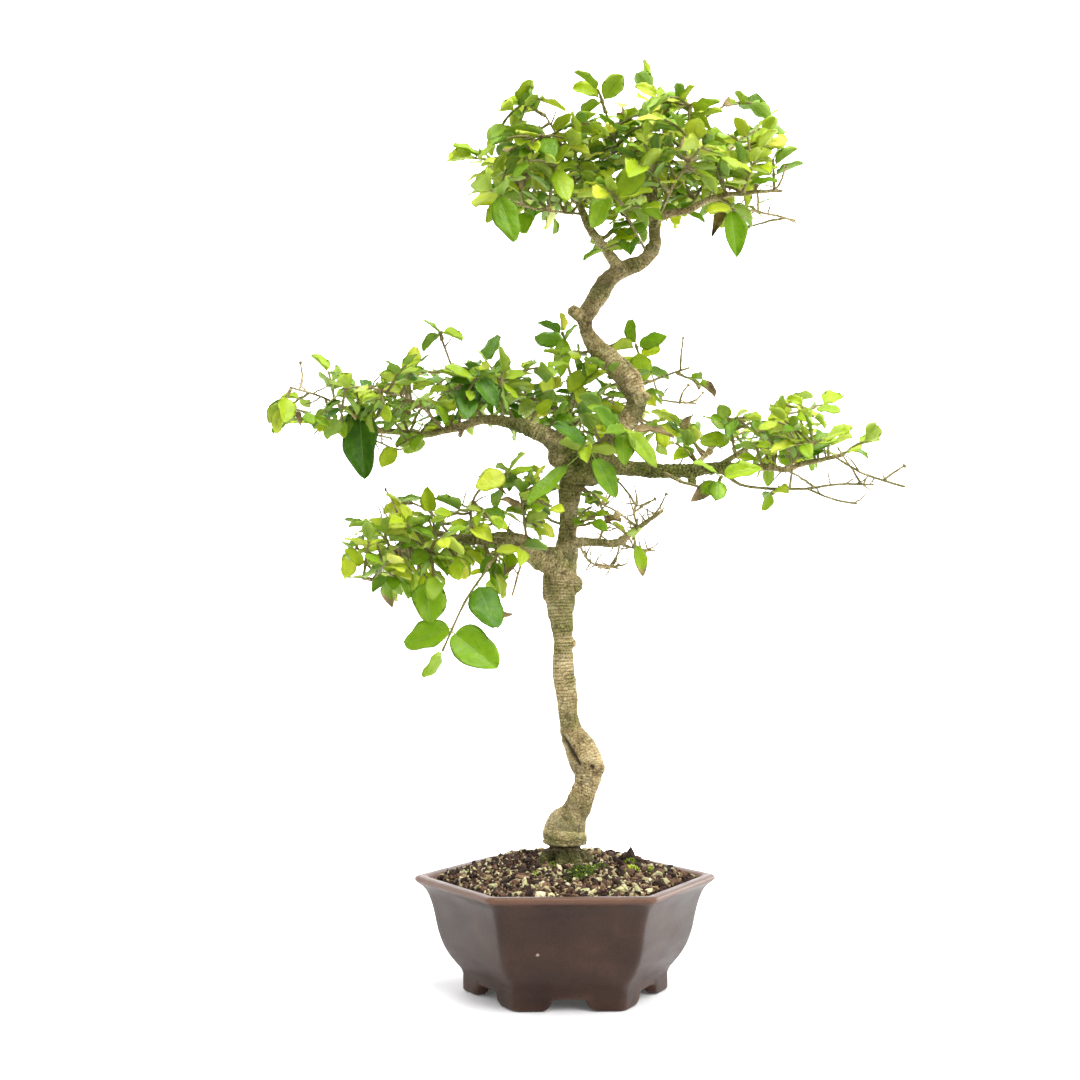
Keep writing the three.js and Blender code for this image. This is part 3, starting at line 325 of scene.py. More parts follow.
# overgrown knobs: x, y, z, radius
KNOBS = [
    [20, -3, 146, 7], [5, -1, 230, 4.6], [10, -1, 269, 7], [-9, 2, 262, 6.5], [-7, 1, 283, 9],
    [17, -6, 348, 12], [-2, -8, 357, 10], [37, -7, 374, 6], [60, -4, 500, 6],
]
# dead stubs of cut branches, as short limbs
STUBS = [
    [[14, 0, 452, 5], [4, -2, 459, 4.2]], [[48, -15, 393, 4], [55, -22, 396, 3]],
    [[-70, 6, 379, 2.4], [-72, 2, 371, 1.8]], [[82, -26, 345, 3], [84, -30, 335, 2.2]],
]
# limb, how many bare twigs it carries, where on it they begin
BARE = [
    ["low_right", 4, 0.4], ["low_right_up", 1, 0.4], ["low_right_tip", 2, 0.3],
    ["low_right_front", 1, 0.4], ["low_right_back", 2, 0.3], ["middle_right", 2, 0.4],
    ["middle_bare", 3, 0.3], ["right_mid", 2, 0.5], ["right_low", 3, 0.4], ["right_end_bare", 1, 0.5],
    ["left_outer", 1, 0.8], ["left_mid", 1, 0.7], ["crown_right", 2, 0.6], ["crown_right_low", 2, 0.4],
    ["low_left", 1, 0.4],
]

# %% Sprays and large leaves
# name, limb, where on it, tip x y z, leaf pairs, leaf length
SPRAYS = [
    ["crown_west", "crown_left", 1, -68, 32, 576, 3, 20],
    ["crown_west_up", "crown_left_up", 1, -30, -32, 593, 3, 20],
    ["crown_west_mid", "crown_left_up", 0.6, -22, -52, 563, 3, 20],
    ["crown_west_low", "crown_left_front", 1, -51, -54, 526, 2, 22],
    ["crown_west_front", "crown_left_front", 0.5, -8, -50, 544, 3, 21],
    ["crown_top_left", "crown_top_left", 1, 22, -20, 607, 3, 20],
    ["crown_top_right", "crown_top_right", 1, 127, -24, 597, 3, 19],
    ["crown_top_front", "crown_top_right", 0.5, 82, -44, 588, 3, 20],
    ["crown_tip", "trunk", 1, 58, 14, 624, 3, 19],
    ["crown_east_up", "crown_right_up", 1, 147, 26, 598, 3, 19],
    ["crown_east_mid", "crown_right_up", 0.55, 124, -14, 569, 3, 20],
    ["crown_east_low", "crown_right", 0.72, 123, -44, 544, 3, 19],
    ["crown_east_hang", "crown_right", 0.5, 112, -26, 525, 1, 20],
    ["crown_back", "crown_back", 1, 47, 74, 630, 3, 20],
    ["crown_back_right", "crown_back_right", 1, 133, 68, 604, 3, 20],
    ["crown_back_left", "crown_back_left", 1, -24, 76, 605, 3, 20],
    ["crown_front", "crown_front", 1, 87, -78, 548, 3, 21],
    ["crown_front_mid", "crown_front", 0.5, 46, -66, 539, 3, 21],
    ["crown_inner", "crown_inner", 1, 25, -56, 526, 3, 21],
    ["crown_inner_low", "crown_inner", 0.3, 25, -26, 494, 1, 18],
    ["left_far", "left_outer", 1, -191, -16, 387, 3, 17],
    ["left_far_up", "left_outer", 0.5, -163, 10, 417, 3, 18],
    ["left_front", "left_front", 1, -146, -40, 396, 3, 18],
    ["left_shoot", "left_shoot", 1, -84, -32, 436, 1, 16],
    ["left_shoot_low", "left_shoot", 0.4, -59, -40, 404, 3, 19],
    ["left_back", "left_back", 1, -104, 66, 426, 3, 19],
    ["left_back_mid", "left_back", 0.5, -54, 38, 430, 3, 19],
    ["left_back_low", "left_back_low", 1, -149, 66, 386, 3, 18],
    ["left_tip", "left_outer", 0.3, -141, 3, 397, 1, 20],
    ["left_under", "left_mid", 0.62, -115, 2, 364, 2, 18],
    ["left_inner", "left_mid", 0.4, -43, -34, 409, 3, 19],
    ["middle_up", "middle_up", 1, 0, 40, 452, 3, 19],
    ["middle_left", "middle_left", 1, -39, 68, 417, 3, 19],
    ["middle_right", "middle_right", 0.5, 53, 42, 444, 3, 19],
    ["middle_right_tip", "middle_right", 0.85, 97, 28, 412, 1, 17],
    ["front_shoot", "trunk", 0.512, 39, -48, 369, 1, 20],
    ["fork_shoot", "trunk", 0.488, 13, -40, 359, 1, 20],
    ["right_tip", "right_mid", 1, 190, -80, 358, 3, 16],
    ["right_outer", "right_mid", 0.72, 160, -76, 359, 3, 18],
    ["right_up", "right_up", 1, 181, 14, 396, 2, 16],
    ["right_up_mid", "right_up", 0.55, 150, -14, 392, 3, 17],
    ["right_inner", "right_up", 0.2, 106, -40, 378, 3, 18],
    ["right_back", "right_back", 1, 176, 66, 385, 3, 18],
    ["right_front", "right_front", 1, 95, -82, 335, 1, 20],
    ["right_under", "right_low", 0.45, 132, -52, 327, 1, 14],
    ["low_up", "low_up", 1, -39, -30, 343, 3, 18],
    ["low_up_left", "low_up_back", 1, -115, 36, 328, 2, 17],
    ["low_tip", "low_left", 1, -145, 30, 296, 3, 18],
    ["low_back", "low_back", 1, -110, 72, 334, 3, 18],
    ["low_front", "low_front", 1, -136, -28, 273, 2, 17],
    ["low_mid", "low_left", 0.62, -92, -14, 291, 3, 18],
    ["low_inner", "low_left", 0.22, -31, -26, 329, 3, 18],
    ["low_hang_tip", "low_hang", 1, -82, -22, 225, 0, 20],
    ["low_front_hang", "low_front", 0.4, -92, -22, 272, 0, 20],
    ["low_right_leaf", "low_right_front", 0.5, 44, -34, 299, 0, 16],
]
# spray, where on its stem, tip x y z, width, upper side towards x y z
BIG_LEAVES = [
    ["low_hang_tip", 0.8, -46, -34, 214, 27, 0.1, -1, 0.25],
    ["low_hang_tip", 0.76, -108, -14, 229, 20, -0.1, -1, 0.3],
    ["low_hang_tip", 0.2, -47, -38, 242, 23, 0.15, -1, 0.2],
    ["low_hang_tip", 0.5, -37, -20, 245, 10, 0.5, -0.6, -0.6],
    ["low_front_hang", 1, -90, -27, 244, 24, 0.1, -1, 0.1],
    ["left_tip", 0.6, -137, 4, 342, 24, 0, -1, 0.1],
    ["left_shoot_low", 0.5, -67, -50, 376, 17, 0, -1, 0.5],
    ["left_shoot_low", 0.85, -46, -48, 386, 16, 0.2, -1, 0.5],
    ["fork_shoot", 0.8, 31, -52, 325, 15, 0.2, -1, 0.2],
    ["fork_shoot", 0.6, -27, -46, 322, 12, -0.3, -1, 0.4],
    ["fork_shoot", 0.95, -8, -48, 374, 15, 0, -0.8, 0.7],
    ["crown_west_low", 0.6, -35, -60, 492, 18, 0, -1, 0.1],
    ["crown_east_hang", 0.9, 114, -36, 488, 16, 0.1, -1, 0.1],
    ["crown_east_hang", 0.5, 99, -24, 506, 9, 0, -1, 0.2],
    ["crown_inner", 0.8, 15, -60, 500, 15, 0, -1, 0.2],
    ["crown_west_front", 0.95, -1, -66, 518, 15, 0, -1, 0.3],
    ["low_right_leaf", 0.9, 50, -38, 274, 10, 0.2, -1, 0],
    ["front_shoot", 0.6, 18, -50, 383, 15, 0, -1, 0.5],
    ["front_shoot", 0.8, 36, -56, 347, 15, 0, -1, 0.3],
    ["front_shoot", 0.95, 58, -52, 345, 14, 0.2, -1, 0.3],
    ["front_shoot", 0.4, 68, -40, 374, 12, 0.1, -0.6, 0.8],
    ["middle_right_tip", 0.9, 108, 22, 406, 10, 0, -0.6, 0.8],
    ["middle_up", 0.8, -1, 34, 420, 13, 0, -1, 0.3],
    ["middle_right", 0.8, 58, 28, 416, 17, 0, -1, 0.4],
    ["right_front", 0.8, 118, -90, 341, 14, 0, -0.8, 0.6],
    ["right_front", 0.5, 91, -92, 320, 12, 0, -1, 0.4],
    ["right_front", 0.4, 76, -82, 320, 11, 0, -1, 0.2],
]
print(len(LIMBS), "limbs,", len(SPRAYS), "sprays,", len(BIG_LEAVES), "large leaves")

# %% [markdown]
# ## Where every leaf grows
# Privet carries its leaves in opposite pairs with one more at the tip. Placing hundreds by hand would
# be slow, so a rule does it: each spray starts on a short woody spur, each pair gets a drawn direction
# that spreads sideways and droops a little, and a draw that comes too near to wood, to another stem or
# to another leaf is drawn again. The draws are repeatable and are the same ones the solids used.

# %% Repeatable draws and small vector tools
# a seed always gives the same row of numbers from 0 to 1, here and in the source of the solids
def draws(seed):
    state = [seed]

    def draw():
        state[0] = (state[0] + 0x6D2B79F5) & 0xFFFFFFFF
        s = state[0]
        t = ((s ^ (s >> 15)) * (1 | s)) & 0xFFFFFFFF
        t = (t + (((t ^ (t >> 7)) * (61 | t)) & 0xFFFFFFFF)) & 0xFFFFFFFF ^ t
        return ((t ^ (t >> 14)) & 0xFFFFFFFF) / 4294967296
    return draw


def vec(*parts):
    return np.array(parts, dtype=float)


def unit(v):
    return v / math.sqrt(v @ v)


# the point and radius of a limb at t, from 0 at its foot to 1 at its end
def point_at(limb, t):
    path = np.array(LIMBS[limb], dtype=float)
    place = min(t * (len(path) - 1), len(path) - 1.0001)
    i = int(place)
    return path[i] * (1 - (place - i)) + path[i + 1] * (place - i)


print("first draw of seed 7:", round(draws(7)(), 3), "half way up the trunk:", point_at("trunk", 0.5))

# %% A spray's spur and green stem
# the hair of space between woody spur and green stem, the stem's radius, the space between leaves, mm
GAP = 0.4
STEM_RADIUS = 0.9
LEAF_GAP = 3.3


def route_between(name, origin, spur, tip, pairs, length):
    way = unit(tip - origin)
    start = origin + way * (spur + GAP)
    # a stem leaves its spur straight and then bows up by a twelfth of its length
    bow = np.linalg.norm(tip - start) * 0.08
    side = vec(1, 0, 0) if abs(way[2]) > 0.97 else unit(np.cross(way, vec(0, 0, 1)))
    stem = [start, start + way * 2, (start + tip) / 2 + vec(0, 0, bow), tip]
    return dict(name=name, pairs=pairs, length=length, origin=origin, way=way, side=side, spur=spur,
                stem=stem)


def spray_route(row):
    name, limb, t, x, y, z, pairs, length = row
    seat = point_at(limb, t)
    spur = 4 if t == 1 else seat[3] + 4
    return {**route_between(name, seat[:3], spur, vec(x, y, z), pairs, length), "limb": limb}


def on_stem(route, t):
    i = 1 if t < 0.5 else 2
    a, b = route["stem"][i], route["stem"][i + 1]
    k = t * 2 - i + 1
    return a * (1 - k) + b * k, unit(b - a)


def stem_length(route):
    s = route["stem"]
    return np.linalg.norm(s[2] - s[1]) + np.linalg.norm(s[3] - s[2])


ROUTES = [spray_route(row) for row in SPRAYS]
print("sprays", len(ROUTES), "longest stem", round(max(stem_length(r) for r in ROUTES), 1), "mm")

# %% Distances to bars of wood and stem
# a bar is a row of its two ends and the distance that leaves keep from its middle line
CLEAR = 2


def span_gaps(points, spans):
    a, b = spans[:, 0:3], spans[:, 3:6]
    along = b - a
    reach = points[:, None, :] - a[None]
    k = np.clip((reach * along).sum(-1) / (along * along).sum(-1), 0, 1)
    return np.linalg.norm(reach - k[..., None] * along, axis=-1)


def bare_twigs():
    draw = draws(23)
    stems = np.array([[*r["stem"][i], *r["stem"][j]] for r in ROUTES for i, j in ((0, 2), (2, 3))])
    twigs = []
    for limb, count, low in BARE:
        for i in range(count):
            origin = point_at(limb, low + (1 - low) * ((i + 0.3 + 0.5 * draw()) / count))
            way = unit(vec(draw() - 0.5, draw() - 0.5, 0.9 * draw() - 0.25))
            length = 11 + 15 * draw()
            bend = vec(draw() - 0.5, draw() - 0.5, draw() - 0.3)
            half = origin[:3] + way * (origin[3] + length * 0.5)
            end = half + way * (length * 0.5) + bend * (length * 0.35)
            if span_gaps(np.array([half, end, (half + end) / 2]), stems).min() > 3:
                twigs.append([[*origin[:3], 0.9], [*half, 0.8], [*end, 0.6]])
    return twigs


TWIGS = bare_twigs()
wood_spans = []
for path in [*LIMBS.values(), *STUBS, *TWIGS]:
    for a, b in zip(path, path[1:]):
        wood_spans.append([*a[:3], *b[:3], max(a[3], b[3]) + CLEAR])
for x, y, z, radius in KNOBS:
    wood_spans.append([x, y, z - 0.1, x, y, z + 0.1, radius + CLEAR])
for r in ROUTES:
    wood_spans.append([*r["origin"], *(r["origin"] + r["way"] * r["spur"]), 1 + CLEAR])
WOOD_SPANS = np.array(wood_spans, dtype=float)
print(len(TWIGS), "bare twigs,", len(WOOD_SPANS), "lengths of wood to keep clear of")

# %% One leaf as a small set of measures
# u runs from the leaf's foot to its tip, v from -1 at one rim to 1 at the other
def half_width(u):
    return np.sin(np.pi * np.clip(u, 0, 1) ** 0.86).clip(0) ** 0.75 * (1 - 0.12 * u)


def leaf_points(leaf, u, v):
    u, v = np.asarray(u, dtype=float), np.asarray(v, dtype=float)
    out = half_width(u) * leaf["width"] * 0.5 * v
    lift = (np.abs(out) * leaf["fold"] - leaf["droop"] * leaf["length"] * u * u
            + leaf["wave"] * leaf["width"] * np.sin(5 * u + leaf["phase"]) * v)
    return (leaf["base"] + leaf["way"] * (leaf["length"] * u)[..., None]
            + leaf["side"] * out[..., None] + leaf["up"] * lift[..., None])


# 26 points that stand for a blade when its distance to others is measured; the middle one is number 12
SAMPLE_U = np.array([u for u in (0.18, 0.34, 0.5, 0.66, 0.82) for v in range(5)] + [1.0])
SAMPLE_V = np.array([v for u in range(5) for v in (-1, -0.5, 0, 0.5, 1)] + [0.0])
MIDDLE_SAMPLE = 12
# leaves whose middles are further apart than this can't touch, mm
FAR = 60
MOST_LEAVES = 4000


def new_leaf(base, way, upward, length, width, draw):
    side = unit(np.cross(way, upward))
    leaf = dict(base=base, way=way, side=side, up=np.cross(side, way), length=length, width=width)
    leaf["fold"] = 0.12 + 0.3 * draw()
    leaf["droop"] = 0.02 + 0.16 * draw()
    leaf["wave"] = 0.05 * draw()
    leaf["phase"] = 6.28 * draw()
    return leaf


class Placed:
    """The sample points of every leaf so far, with their middles for a quick first look."""

    def __init__(self):
        self.gap = LEAF_GAP
        self.count = 0
        self.middles = np.full((MOST_LEAVES, 3), 1e9)
        self.samples = np.zeros((MOST_LEAVES, len(SAMPLE_U), 3))

    def add(self, samples):
        self.middles[self.count] = samples[MIDDLE_SAMPLE]
        self.samples[self.count] = samples
        self.count += 1

    def touches(self, samples):
        away = self.middles[:self.count] - samples[MIDDLE_SAMPLE]
        near = np.flatnonzero((away ** 2).sum(1) < FAR ** 2)
        if len(near) == 0:
            return False
        others = self.samples[near].reshape(-1, 3)
        apart = (samples ** 2).sum(1)[:, None] + (others ** 2).sum(1)[None] - 2 * samples @ others.T
        return bool(apart.min() < self.gap ** 2)


def near_spans(spans, middle, reach):
    half = np.linalg.norm(spans[:, 3:6] - spans[:, :3], axis=1) / 2
    away = np.linalg.norm((spans[:, 3:6] + spans[:, :3]) / 2 - middle, axis=1)
    return spans[away < half + spans[:, 6] + reach]

# %% Growing the pairs on one set of sprays
# only wood this near to a spray's middle is looked at, and a leaf that finds no room is left out, mm
NEAR = 75
TRIES = 30
SMALLER_AFTER = 12


def grow(routes, big, seed, placed, all_routes):
    draw = draws(seed)
    grown = [[] for _ in routes]

    def settle(index, t, hand, leaf):
        placed.add(leaf_points(leaf, SAMPLE_U, SAMPLE_V))
        grown[index].append({**leaf, "t": t, "hand": hand})

    # the large leaves are placed first, each exactly where its row says
    for name, t, x, y, z, width, nx, ny, nz in big:
        index = [r["name"] for r in routes].index(name)
        route = routes[index]
        point, _ = on_stem(route, t)
        hand = 0 if t == 1 else float(np.sign((vec(x, y, z) - point) @ route["side"]))
        base = point + route["side"] * (hand * STEM_RADIUS * 0.7)
        reach = vec(x, y, z) - base
        leaf = new_leaf(base, unit(reach), vec(nx, ny, nz), np.linalg.norm(reach), width, draw)
        settle(index, t, hand, leaf)
        grown[index][-1]["big"] = True
    # then pairs of drawn leaves along each stem, with one more at its tip
    for index, route in enumerate(routes):
        others = [r["stem"] for r in all_routes if r is not route]
        stems = [[*s[i], *s[j], STEM_RADIUS + CLEAR] for s in others for i, j in ((0, 2), (2, 3))]
        middle = (route["stem"][0] + route["stem"][3]) / 2
        spans = near_spans(np.concatenate([WOOD_SPANS, np.array(stems)]), middle, NEAR)
        total = stem_length(route)
        spots = []
        for i in range(route["pairs"]):
            t = 0.1 + (0.84 * (i + 0.6 * draw())) / route["pairs"]
            while any(abs(leaf["t"] - t) * total < 3 for leaf in grown[index]) and t < 0.9:
                t += 0.03
            if t < 0.95:
                spots += [(t, -1), (t, 1)]
        if not any(leaf["hand"] == 0 for leaf in grown[index]):
            spots.append((1, 0))
        for t, hand in spots:
            point, way = on_stem(route, t)
            base = point + route["side"] * (hand * STEM_RADIUS * 0.7)
            for attempt in range(TRIES):
                length = route["length"] * (0.85 + 0.45 * draw()) * (0.8 if attempt > SMALLER_AFTER else 1)
                ahead = 1 if hand == 0 else 0.2 + 0.7 * draw()
                jitter = vec(draw() - 0.5, draw() - 0.5, 1.3 * draw() - 0.75)
                aim = unit(way * ahead + route["side"] * (hand * 1.1) + jitter * 0.9)
                lean = unit(vec(draw() - 0.5, draw() - 0.7, 0.35 + 0.5 * draw()))
                width = length * (0.58 + 0.16 * draw())
                leaf = new_leaf(base, aim, lean, length, width, draw)
                samples = leaf_points(leaf, SAMPLE_U, SAMPLE_V)
                if not placed.touches(samples) and (span_gaps(samples, spans) > spans[:, 6]).all():
                    settle(index, t, hand, leaf)
                    break
    return grown


PLACED = Placed()
GROWN = grow(ROUTES, BIG_LEAVES, 71, PLACED, ROUTES)
print(sum(len(g) for g in GROWN), "leaves on", len(ROUTES), "sprays")

# %% [markdown]
# ## Privet leaf
# A privet leaf is a thin, waxy, lightly cupped blade: glossy and deep green above, paler below, with a
# pale midrib and a handful of side veins that bend forward. Light comes through it, which is why the
# crown glows. A fine wax coat on cellulose has an IOR near 1.45 and a roughness near 0.4. Painting each
# leaf by hand is one way; here every point carries how far along and across its blade it lies, its
# leaf's age, which also paints light and shade, and how dry its tip is, so one material can draw veins
# and brown tips on all of them.

# %% Leaf material
LEAF_KEYS = ("tint", "along", "across", "wither", "stem", "under")
leaf_green, tree = new_material("waxy_privet_leaf")
tint, along, across, wither, stem, under = (
    add(tree, "ShaderNodeAttribute", attribute_name=key).outputs["Fac"] for key in LEAF_KEYS)
place = add(tree, "ShaderNodeTexCoord").outputs["Object"]
# blotches of 7 mm and a grain of 0.9 mm, in metres
blotch = add(tree, "ShaderNodeTexNoise",
             {"Vector": place, "Scale": 1 / 0.007, "Detail": 3.0}).outputs["Fac"]
grain = add(tree, "ShaderNodeTexNoise",
            {"Vector": place, "Scale": 1 / 0.0009, "Detail": 2.0}).outputs["Fac"]
# leaves run from deep old green over fresh green to young yellow, which also paints shade low and light on
# the crown
age_light_and_shade = add(tree, "ShaderNodeMath", {0: blotch, 1: 0.3, 2: tint}, operation="MULTIPLY_ADD").outputs[0]
age_light_and_shade = add(tree, "ShaderNodeMath", {0: age_light_and_shade, 1: 0.15}, operation="SUBTRACT").outputs[0]
green = set_ramp(add(tree, "ShaderNodeValToRGB", {"Fac": age_light_and_shade}),
                 [(0.0, "#375f1a"), (0.22, "#588818"), (0.45, "#84ab1a"), (0.68, "#abc224"),
                  (0.88, "#c8d43a"), (1.0, "#e3e36a")]).outputs[0]
off_middle = add(tree, "ShaderNodeMath", {0: across}, operation="ABSOLUTE").outputs[0]
midrib = add(tree, "ShaderNodeMapRange", {0: off_middle, 1: 0.012, 2: 0.05, 3: 1.0, 4: 0.0}).outputs[0]
# seven pairs of side veins on a blade of 20 to 45 mm, bending towards the tip
step = add(tree, "ShaderNodeMath", {0: off_middle, 1: -1.5}, operation="MULTIPLY").outputs[0]
step = add(tree, "ShaderNodeMath", {0: along, 1: 7.0, 2: step}, operation="MULTIPLY_ADD").outputs[0]
step = add(tree, "ShaderNodeMath", {0: step, 1: 0.5}, operation="PINGPONG").outputs[0]
side_vein = add(tree, "ShaderNodeMapRange", {0: step, 1: 0.02, 2: 0.11, 3: 0.16, 4: 0.0}).outputs[0]
vein = add(tree, "ShaderNodeMath", {0: midrib, 1: side_vein}, operation="MAXIMUM").outputs[0]
pale = add(tree, "ShaderNodeMath", {0: vein, 1: 0.27}, operation="MULTIPLY").outputs[0]
veined = add(tree, "ShaderNodeMix", {0: pale, 6: green, 7: linear("#c4d68a")},
             data_type="RGBA").outputs[2]
beneath = add(tree, "ShaderNodeMath", {0: under, 1: 0.4}, operation="MULTIPLY").outputs[0]
both = add(tree, "ShaderNodeMix", {0: beneath, 6: veined, 7: linear("#a3ba6b")},
           data_type="RGBA").outputs[2]
# the dry part starts at the tip and creeps down the rim
dry = add(tree, "ShaderNodeMath", {0: off_middle, 1: 0.18, 2: along}, operation="MULTIPLY_ADD").outputs[0]
dry = add(tree, "ShaderNodeMath", {0: blotch, 1: 0.35, 2: dry}, operation="MULTIPLY_ADD").outputs[0]
dry = add(tree, "ShaderNodeMath", {0: wither, 1: 1.45, 2: dry}, operation="MULTIPLY_ADD").outputs[0]
dry = add(tree, "ShaderNodeMapRange", {0: dry, 1: 1.46, 2: 1.58, 3: 0.0, 4: 1.0}).outputs[0]
brown = set_ramp(add(tree, "ShaderNodeValToRGB", {"Fac": blotch}),
                 [(0.3, "#5f5230"), (0.5, "#8f7c4f"), (0.7, "#b8a270")]).outputs[0]
blade = add(tree, "ShaderNodeMix", {0: dry, 6: both, 7: brown}, data_type="RGBA").outputs[2]
bark_of_stem = set_ramp(add(tree, "ShaderNodeValToRGB", {"Fac": grain}),
                        [(0.3, "#75693d"), (0.7, "#a3955f")]).outputs[0]
colour = add(tree, "ShaderNodeMix", {0: stem, 6: blade, 7: bark_of_stem}, data_type="RGBA").outputs[2]
shine = add(tree, "ShaderNodeMapRange", {0: under, 1: 0.0, 2: 1.0, 3: 0.36, 4: 0.6}).outputs[0]
shine = add(tree, "ShaderNodeMath", {0: dry, 1: 0.3, 2: shine}, operation="MULTIPLY_ADD").outputs[0]
# the blade is puckered between its veins, about 3 mm from crest to crest
pucker = add(tree, "ShaderNodeTexNoise",
             {"Vector": place, "Scale": 1 / 0.003, "Detail": 1.0}).outputs["Fac"]
relief = add(tree, "ShaderNodeMath", {0: vein, 1: -0.8, 2: grain}, operation="MULTIPLY_ADD").outputs[0]
relief = add(tree, "ShaderNodeMath", {0: pucker, 1: 3.0, 2: relief}, operation="MULTIPLY_ADD").outputs[0]
bump = add(tree, "ShaderNodeBump", {"Height": relief, "Strength": 0.7, "Distance": 0.0003}).outputs[0]
bsdf = add(tree, "ShaderNodeBsdfPrincipled", {"Base Color": colour, "Roughness": shine, "IOR": 1.45,
                                               "Normal": bump, "Specular IOR Level": 0.4})
# light that has come through a leaf is yellower and purer than what it throws back
glow = add(tree, "ShaderNodeHueSaturation",
           {"Hue": 0.485, "Saturation": 1.2, "Value": 1.4, "Color": colour})
through = add(tree, "ShaderNodeBsdfTranslucent", {"Color": glow.outputs[0], "Normal": bump})
thin = add(tree, "ShaderNodeMapRange", {0: dry, 1: 0.0, 2: 1.0, 3: 0.3, 4: 0.08}).outputs[0]
mixed = add(tree, "ShaderNodeMixShader", {0: thin, 1: bsdf.outputs[0], 2: through.outputs[0]})
add(tree, "ShaderNodeOutputMaterial", {"Surface": mixed.outputs[0]})
print("leaf material has", len(tree.nodes), "nodes")

# %% [markdown]
# ## Leaf and stem meshes
# A single card with a picture of a leaf is the cheap way and looks flat from the side. Each leaf here is
# a closed blade of its own, half a millimetre thick in its middle and thin at its rim, on a grid that
# follows its cup, droop and wave. A thin rib runs on from the leaf stalk under the blade, as on the real
# leaf.

# %% Smooth paths and tubes
def smooth_path(points, steps):
    points = np.asarray(points, dtype=float)
    if len(points) < 3:
        k = np.linspace(0, 1, steps + 1)[:, None]
        return points[0] * (1 - k) + points[1] * k
    padded = np.concatenate([[2 * points[0] - points[1]], points, [2 * points[-1] - points[-2]]])
    parts = []
    for a, b, c, d in zip(padded, padded[1:], padded[2:], padded[3:]):
        k = (np.arange(steps) / steps)[:, None]
        parts.append(0.5 * (2 * b + (c - a) * k + (2 * a - 5 * b + 4 * c - d) * k ** 2
                            + (3 * b - a - 3 * c + d) * k ** 3))
    return np.concatenate([*parts, [points[-1]]])


class Shapes:
    """Points, faces and per-point values of many small forms that become one piece."""

    def __init__(self, *keys):
        self.points, self.faces, self.count = [], [], 0
        self.values = {key: [] for key in keys}

    def put(self, points, faces, **values):
        self.points.append(points)
        self.faces.extend(np.asarray(face) + self.count for face in faces)
        self.count += len(points)
        for key, data in self.values.items():
            data.append(np.broadcast_to(values.get(key, 0.0), len(points)))

    def tube(self, path, sides, **values):
        path = np.asarray(path, dtype=float)
        ways = np.gradient(path[:, :3], axis=0)
        ways /= np.linalg.norm(ways, axis=1)[:, None]
        across = unit(np.cross(ways[0], vec(0.3, 0.2, 1) if abs(ways[0][2]) < 0.9 else vec(1, 0.2, 0)))
        turn = np.arange(sides) * 2 * math.pi / sides
        rings = []
        for centre, way in zip(path, ways):
            across = unit(across - way * (across @ way))
            other = np.cross(way, across)
            circle = np.cos(turn)[:, None] * across + np.sin(turn)[:, None] * other
            rings.append(centre[:3] + centre[3] * circle)
        ends = [path[0, :3] - ways[0] * path[0, 3] * 0.5, path[-1, :3] + ways[-1] * path[-1, 3] * 0.6]
        points = np.concatenate([*rings, ends])
        last = sides * len(path)
        j = np.arange(sides)
        k = (j + 1) % sides
        faces = []
        for a in range(0, last - sides, sides):
            faces += list(np.stack([a + j, a + k, a + sides + k, a + sides + j], 1))
        faces += list(np.stack([np.full(sides, last), k, j], 1))
        faces += list(np.stack([np.full(sides, last + 1), last - sides + j, last - sides + k], 1))
        self.put(points, faces, **values)

    def make(self, name, material, slot, smooth=True):
        values = {key: np.concatenate(data) for key, data in self.values.items()}
        return make_piece(name, np.concatenate(self.points), self.faces, material, smooth, values)


print("a path of 3 points in 4 steps has", len(smooth_path([[0, 0, 0], [1, 0, 1], [2, 0, 0]], 4)), "points")

# %% One blade
# a blade is two grids of points that share their rim, closed at its foot and its tip
def blade_faces(rows, columns):
    top = np.arange((rows - 1) * (columns + 1)).reshape(rows - 1, columns + 1) + 2
    low = top.copy()
    low[:, 1:-1] = np.arange((rows - 1) * (columns - 1)).reshape(rows - 1, columns - 1) + top.max() + 1
    faces = []
    for grid, flip in ((top, False), (low, True)):
        rims = []
        for j in range(columns):
            rims.append([0, grid[0, j + 1], grid[0, j]])
            rims.append([1, grid[-1, j], grid[-1, j + 1]])
            for i in range(rows - 2):
                rims.append([grid[i, j], grid[i, j + 1], grid[i + 1, j + 1], grid[i + 1, j]])
        faces += [face[::-1] if flip else face for face in rims]
    return faces


# rows and columns of a blade's grid
SMALL_GRID, FINE_GRID = (10, 6), (22, 10)
print("faces of a blade:", len(blade_faces(*SMALL_GRID)), "or", len(blade_faces(*FINE_GRID)))
# how far a dry leaf curls down at its tip, as a share of its length
DRY_CURL = 0.32


